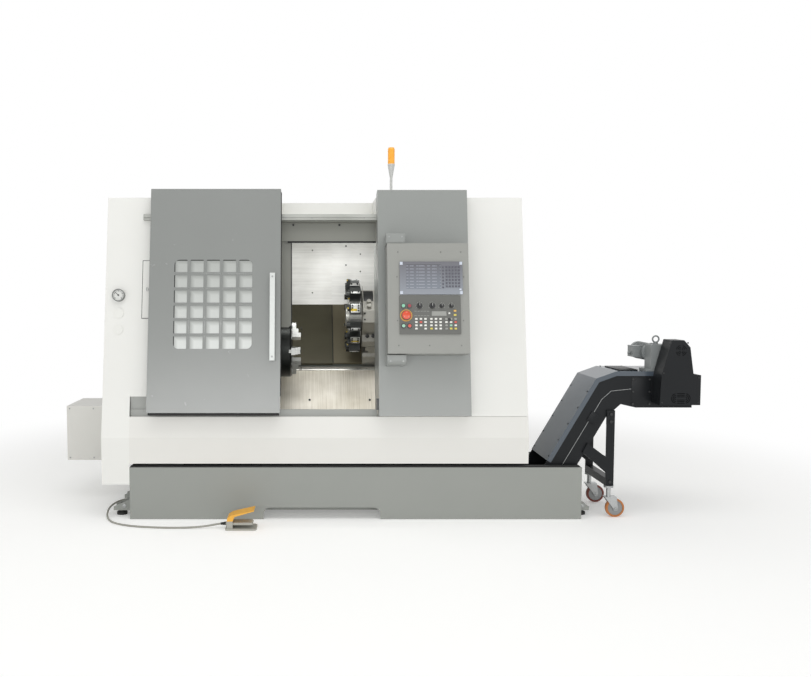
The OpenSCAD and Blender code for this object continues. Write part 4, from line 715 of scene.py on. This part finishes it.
dress(bright, "spindle")
dress(brushed("black_oxide_chuck", "#3c3e3c", "#232523", 0.35, (300, 300, 300), 0.7), "chuck_body")
jaw_steel = brushed("ground_jaw_steel", "#e0e1dd", "#b4b6b2", 0.3, (20, 400, 400), 0.5)
dress(jaw_steel, "jaw_1", "jaw_2", "jaw_3")
chuck_screws = bmesh.new()
for k in range(3):
    for turn in (34, 60, 86):
        socket_screw(chuck_screws, on_chuck(-160, 158, 180 + 120 * k + turn), 11, 4)
build("chuck_screws", chuck_screws, zinc, "spindle")
for k in range(3):
    jaw_screws = bmesh.new()
    for r in (118, 164):
        socket_screw(jaw_screws, on_chuck(-100, r, 180 + 120 * k), 11, 4)
    build(f"jaw_{k + 1}_screws", jaw_screws, black_oxide, f"jaw_{k + 1}")


# Saddle, cross slide and turret: machined iron slides that carry a twelve-station disc.
# Each station has a black-oxide block with a bright clamp plate under socket screws.
TURRET = (786.27, 1266.27)


def on_station(k, x, r, t):
    """A place on turret station k: x along the axis, r out from it, t round it, facing out."""
    a = math.radians(45 + 30 * k)
    out, around = Vector((0, math.cos(a), math.sin(a))), Vector((0, -math.sin(a), math.cos(a)))
    return stand(at(x, *TURRET) + (out * r + around * t) / 1000, out, around)


dress(brushed("machined_slide_iron", "#b5b4ac", "#8f8e87", 0.45, (200, 200, 200), 0.5), "saddle", "cross_slide")
dress(brushed("ground_turret_steel", "#d2d2cc", "#a3a39d", 0.3, (200, 200, 200), 0.7), "turret_disc")
dress(brushed("black_oxide_holders", "#454745", "#2b2d2c", 0.4, (200, 200, 200), 0.6), "tool_holders")
slide_trim = bmesh.new()
for z in (1245, 1288):
    socket_screw(slide_trim, stand(at(352, 644.9, z), FRONT, UP), 7, 4)
slab(slide_trim, on_slope(382, 390, 130), (70, 100, 2), 0.5)
for x in (374, 417):
    boss(slide_trim, stand(at(x, 737, 1123), FRONT, UP), 8, 10, 20, 0.8)
    boss(slide_trim, stand(at(x, 727, 1123), FRONT, UP), 14, 12, 20, 2)
build("cross_slide_trim", slide_trim, black_oxide, "cross_slide")
clamps, clamp_screws, brass_bits = bmesh.new(), bmesh.new(), bmesh.new()
for k in range(12):
    if k % 2 == 0:
        slab(clamps, on_station(k, 282, 232, 0), (66, 62, 4), 1)
        spots = [(282 + x, 236, t) for x in (-21, 21) for t in (-18, 0, 18)]
        slab(brass_bits, on_station(k, 229, 262, 8), (8, 12, 8), 1)
    else:
        slab(clamps, on_station(k, 282, 258, 18), (62, 18, 3), 1)
        spots = [(282 + x, 261, 18) for x in (-21, 21)]
        boss(brass_bits, stand(on_station(k, 244, 200, 22).translation, -RIGHT, UP), 5, 12, 12, 1)
    for spot in spots:
        socket_screw(clamp_screws, on_station(k, *spot), 6, 4)
slab(brass_bits, on_station(4, 270, 236, 14), (44, 16, 7), 1)
slab(brass_bits, on_station(6, 282, 236, 10), (56, 12, 3), 1)
build("tool_clamps", clamps, jaw_steel, "turret")
build("tool_clamp_screws", clamp_screws, black_oxide, "turret")
build("nozzles_and_inserts", brass_bits, moulded("brass", "#d0b846", "#bfa43a", 0.35, 0.01, metal=0.5), "turret")

# Signal lamp: a moulded grey stem screwed to the roof, with a ribbed lens of clear amber
# acrylic that glows a little from the bulb inside.
dress(moulded("light_grey_moulding", "#c9cac7", "#bdbebb", 0.4), "beacon_stem")
amber, tree, shader, coords = surface("amber_lens", 0.2)
bands = put(tree, "TexNoise", {}, {"Vector": coords, "Scale": 1 / 0.03})
tone = put(tree, "MixRGB", {}, {"Fac": bands.outputs["Fac"], "Color1": linear("#eaa12c"), "Color2": linear("#f0b040")})
tree.links.new(tone.outputs[0], shader.inputs["Base Color"])
shader.inputs["Emission Color"].default_value = linear("#e08a1c")
shader.inputs["Emission Strength"].default_value = 0.15
dress(amber, "beacon_lens")
lens_ribs = bmesh.new()
for k in range(4):
    boss(lens_ribs, stand(at(518, 500, 2318 + 24 * k), UP, RIGHT), 24.2, 3, 32, 1)
build("beacon_ribs", lens_ribs, amber, "machine")

# Chip conveyor: black powder coated plate, with glossier lids screwed on along both edges.
# A pale seam follows the side plate; the head carries the gearmotor and chain guard.
conveyor_coat = powder_coat("black_powder_coat", "#16181a", "#202224", 0.38, specular=0.2)
dress(conveyor_coat, "conveyor_casing", "conveyor_stand", "chain_guard")
dress(powder_coat("gloss_black_lids", "#3c4650", "#48525c", 0.2, specular=0.9), "conveyor_lid")
RISE = Vector((0.5, 0, math.sqrt(0.75)))
RISE_OUT = Vector((-math.sqrt(0.75), 0, 0.5))
conveyor_bolts, conveyor_seam = bmesh.new(), bmesh.new()
for y in (74, 406):
    for k in range(5):
        spot = Vector((1431, y, 270)) + RISE * (140 + 120 * k) + RISE_OUT * 3
        socket_screw(conveyor_bolts, stand(at(*spot), RISE_OUT, UP), 5, 3)
    for x in (1935, 2080):
        socket_screw(conveyor_bolts, stand(at(x, y, 938), UP, RIGHT), 5, 3)
seam = ((1583, 338), (1826, 759), (1884, 812), (2012, 826))
for (x0, z0), (x1, z1) in zip(seam, seam[1:]):
    along = Vector((x1 - x0, 0, z1 - z0))
    slab(conveyor_seam, stand(at((x0 + x1) / 2, 60, (z0 + z1) / 2), FRONT, along), (2.5, along.length, 1.2))
for x in (2024, 2128):
    for z in (730, 808, 886):
        boss(conveyor_bolts, stand(at(x, 58, z), FRONT, UP), 7, 5, 6, 0.8)
for x, z in ((2156, 756), (2380, 756), (2380, 912), (2306, 1128), (2200, 1128), (2162, 940)):
    socket_screw(conveyor_bolts, stand(at(x, -65, z), FRONT, UP), 5, 3)
for y, out in ((43, FRONT), (437, -FRONT)):
    for z in (230, 618, 666):
        boss(conveyor_bolts, stand(at(1882, y, z), out, UP), 10, 8, 6, 1)
build("conveyor_bolts", conveyor_bolts, black_oxide, "machine")
build("conveyor_seam", conveyor_seam, zinc, "machine")
head_trim = bmesh.new()
slab(head_trim, stand(at(2076, 60, 808), FRONT, UP), (126, 184, 2), 0.5)
slab(head_trim, stand(at(2010, 235, 938), UP, RIGHT), (260, 120, 7), 1.5)
slab(head_trim, stand(at(1774, 60, 640), FRONT, RISE), (60, 70, 8), 2)
build("conveyor_head_plates", head_trim, conveyor_coat, "machine")
vent_mesh = bmesh.new()
slab(vent_mesh, stand(at(2267, -60, 1080), FRONT, UP), (78, 78, 2), 0.4)
slab(vent_mesh, stand(at(2272, -60, 782), FRONT, UP), (132, 72, 2), 0.4)
build("chain_guard_vent_mesh", vent_mesh, moulded("black_vent_mesh", "#030303", "#080808", 0.9, 0.004, specular=0.1),
      "machine")
motor_enamel = powder_coat("grey_motor_enamel", "#8b8f8f", "#7d8181", 0.4)
dress(motor_enamel, "gearmotor")
motor_trim = bmesh.new()
slab(motor_trim, stand(at(2110, 265, 1084), UP, RIGHT), (94, 62, 5), 2)
boss(motor_trim, stand(at(2081, 265, 1040), -RIGHT, UP), 10, 16, 16, 1.5)
boss(motor_trim, stand(at(2185, 400, 1050), -FRONT, UP), 50, 3, 36, 1)
build("gearmotor_trim", motor_trim, motor_enamel, "machine")

# Casters: pressed and zinc plated forks with lock nuts on their axles, and polyurethane
# tyres cast on grey hubs; the tyre starts 46 mm from the axle.
dress(brushed("zinc_plated_pressing", "#c4c6c6", "#9b9d9d", 0.35, (200, 200, 200), 0.8), "caster_fork_front",
      "caster_fork_rear")
CASTER_X, CASTER_Z = 1923, 60
# The rear tyre's tread colour is painted darker than the front's, a painted shade.
for end, y, tread in (("front", 60, "#b4713a"), ("rear", 420, "#6f3226")):
    tyre, tree, shader, coords = surface("caster_tyre_" + end, 0.45)
    lie = put(tree, "Mapping", {}, {"Vector": coords, "Location": -at(CASTER_X, y, CASTER_Z)})
    flat = put(tree, "VectorMath", {"operation": "MULTIPLY"}, {0: lie.outputs[0], 1: (1, 0, 1)})
    radius = put(tree, "VectorMath", {"operation": "LENGTH"}, {0: flat.outputs[0]})
    is_tyre = put(tree, "Math", {"operation": "GREATER_THAN"}, {0: radius.outputs["Value"], 1: 0.046})
    tone = put(tree, "MixRGB", {}, {"Fac": is_tyre.outputs[0], "Color1": linear("#8d8f8f"), "Color2": linear(tread)})
    tree.links.new(tone.outputs[0], shader.inputs["Base Color"])
    dress(tyre, "caster_wheel_" + end)
    nuts = bmesh.new()
    for side in (-1, 1):
        boss(nuts, stand(at(CASTER_X, y + 25 * side, CASTER_Z), (0, side, 0), UP), 10, 7, 6, 1)
    build("caster_nuts_" + end, nuts, zinc, "caster_" + end)

# Foot pedal: a moulded beige base screwed together from below, with a ribbed treadle that
# hinges under a yellow toe guard.
pedal_beige = moulded("beige_moulding", "#b3b2aa", "#a6a59c", 0.55)
dress(pedal_beige, "pedal_base", "pedal_treadle")
dress(moulded("yellow_moulding", "#f0b445", "#e8aa3c", 0.45), "pedal_guard")
tread = bmesh.new()
for k in range(6):
    slab(tread, stand(at(-485 + 17 * k, -185, 44), UP, RIGHT), (70, 6, 1.6), 0.5)
build("treadle_ribs", tread, pedal_beige, "pedal_treadle")
pedal_screws = bmesh.new()
for y in (-228, -142):
    socket_screw(pedal_screws, stand(at(-366, y, 10), UP, RIGHT), 5, 3)
build("pedal_screws", pedal_screws, zinc, "machine")

# Electrical cabinet door at the rear: powder coated sheet with louvre hoods over its slots,
# two turn locks and a black lever on the handle plate.
CABINET_FACE = 1742
hoods = bmesh.new()
for k in range(8):
    slab(hoods, stand(at(1000, CABINET_FACE, 493 + 24 * k), (0, 1, 0.6), UP), (304, 12, 2), 0.6)
build("cabinet_louvres", hoods, white_coat, "cabinet_door")
locks = bmesh.new()
for z in (620, 1780):
    boss(locks, stand(at(204, CABINET_FACE, z), -FRONT, UP), 13, 5, 24, 1)
    slab(locks, stand(at(204, CABINET_FACE + 5, z), -FRONT, UP), (4, 18, 3), 0.8)
slab(locks, stand(at(204, CABINET_FACE + 8, 1170), -FRONT, UP), (16, 110, 5), 2)
build("cabinet_locks", locks, rubber, "cabinet_door")
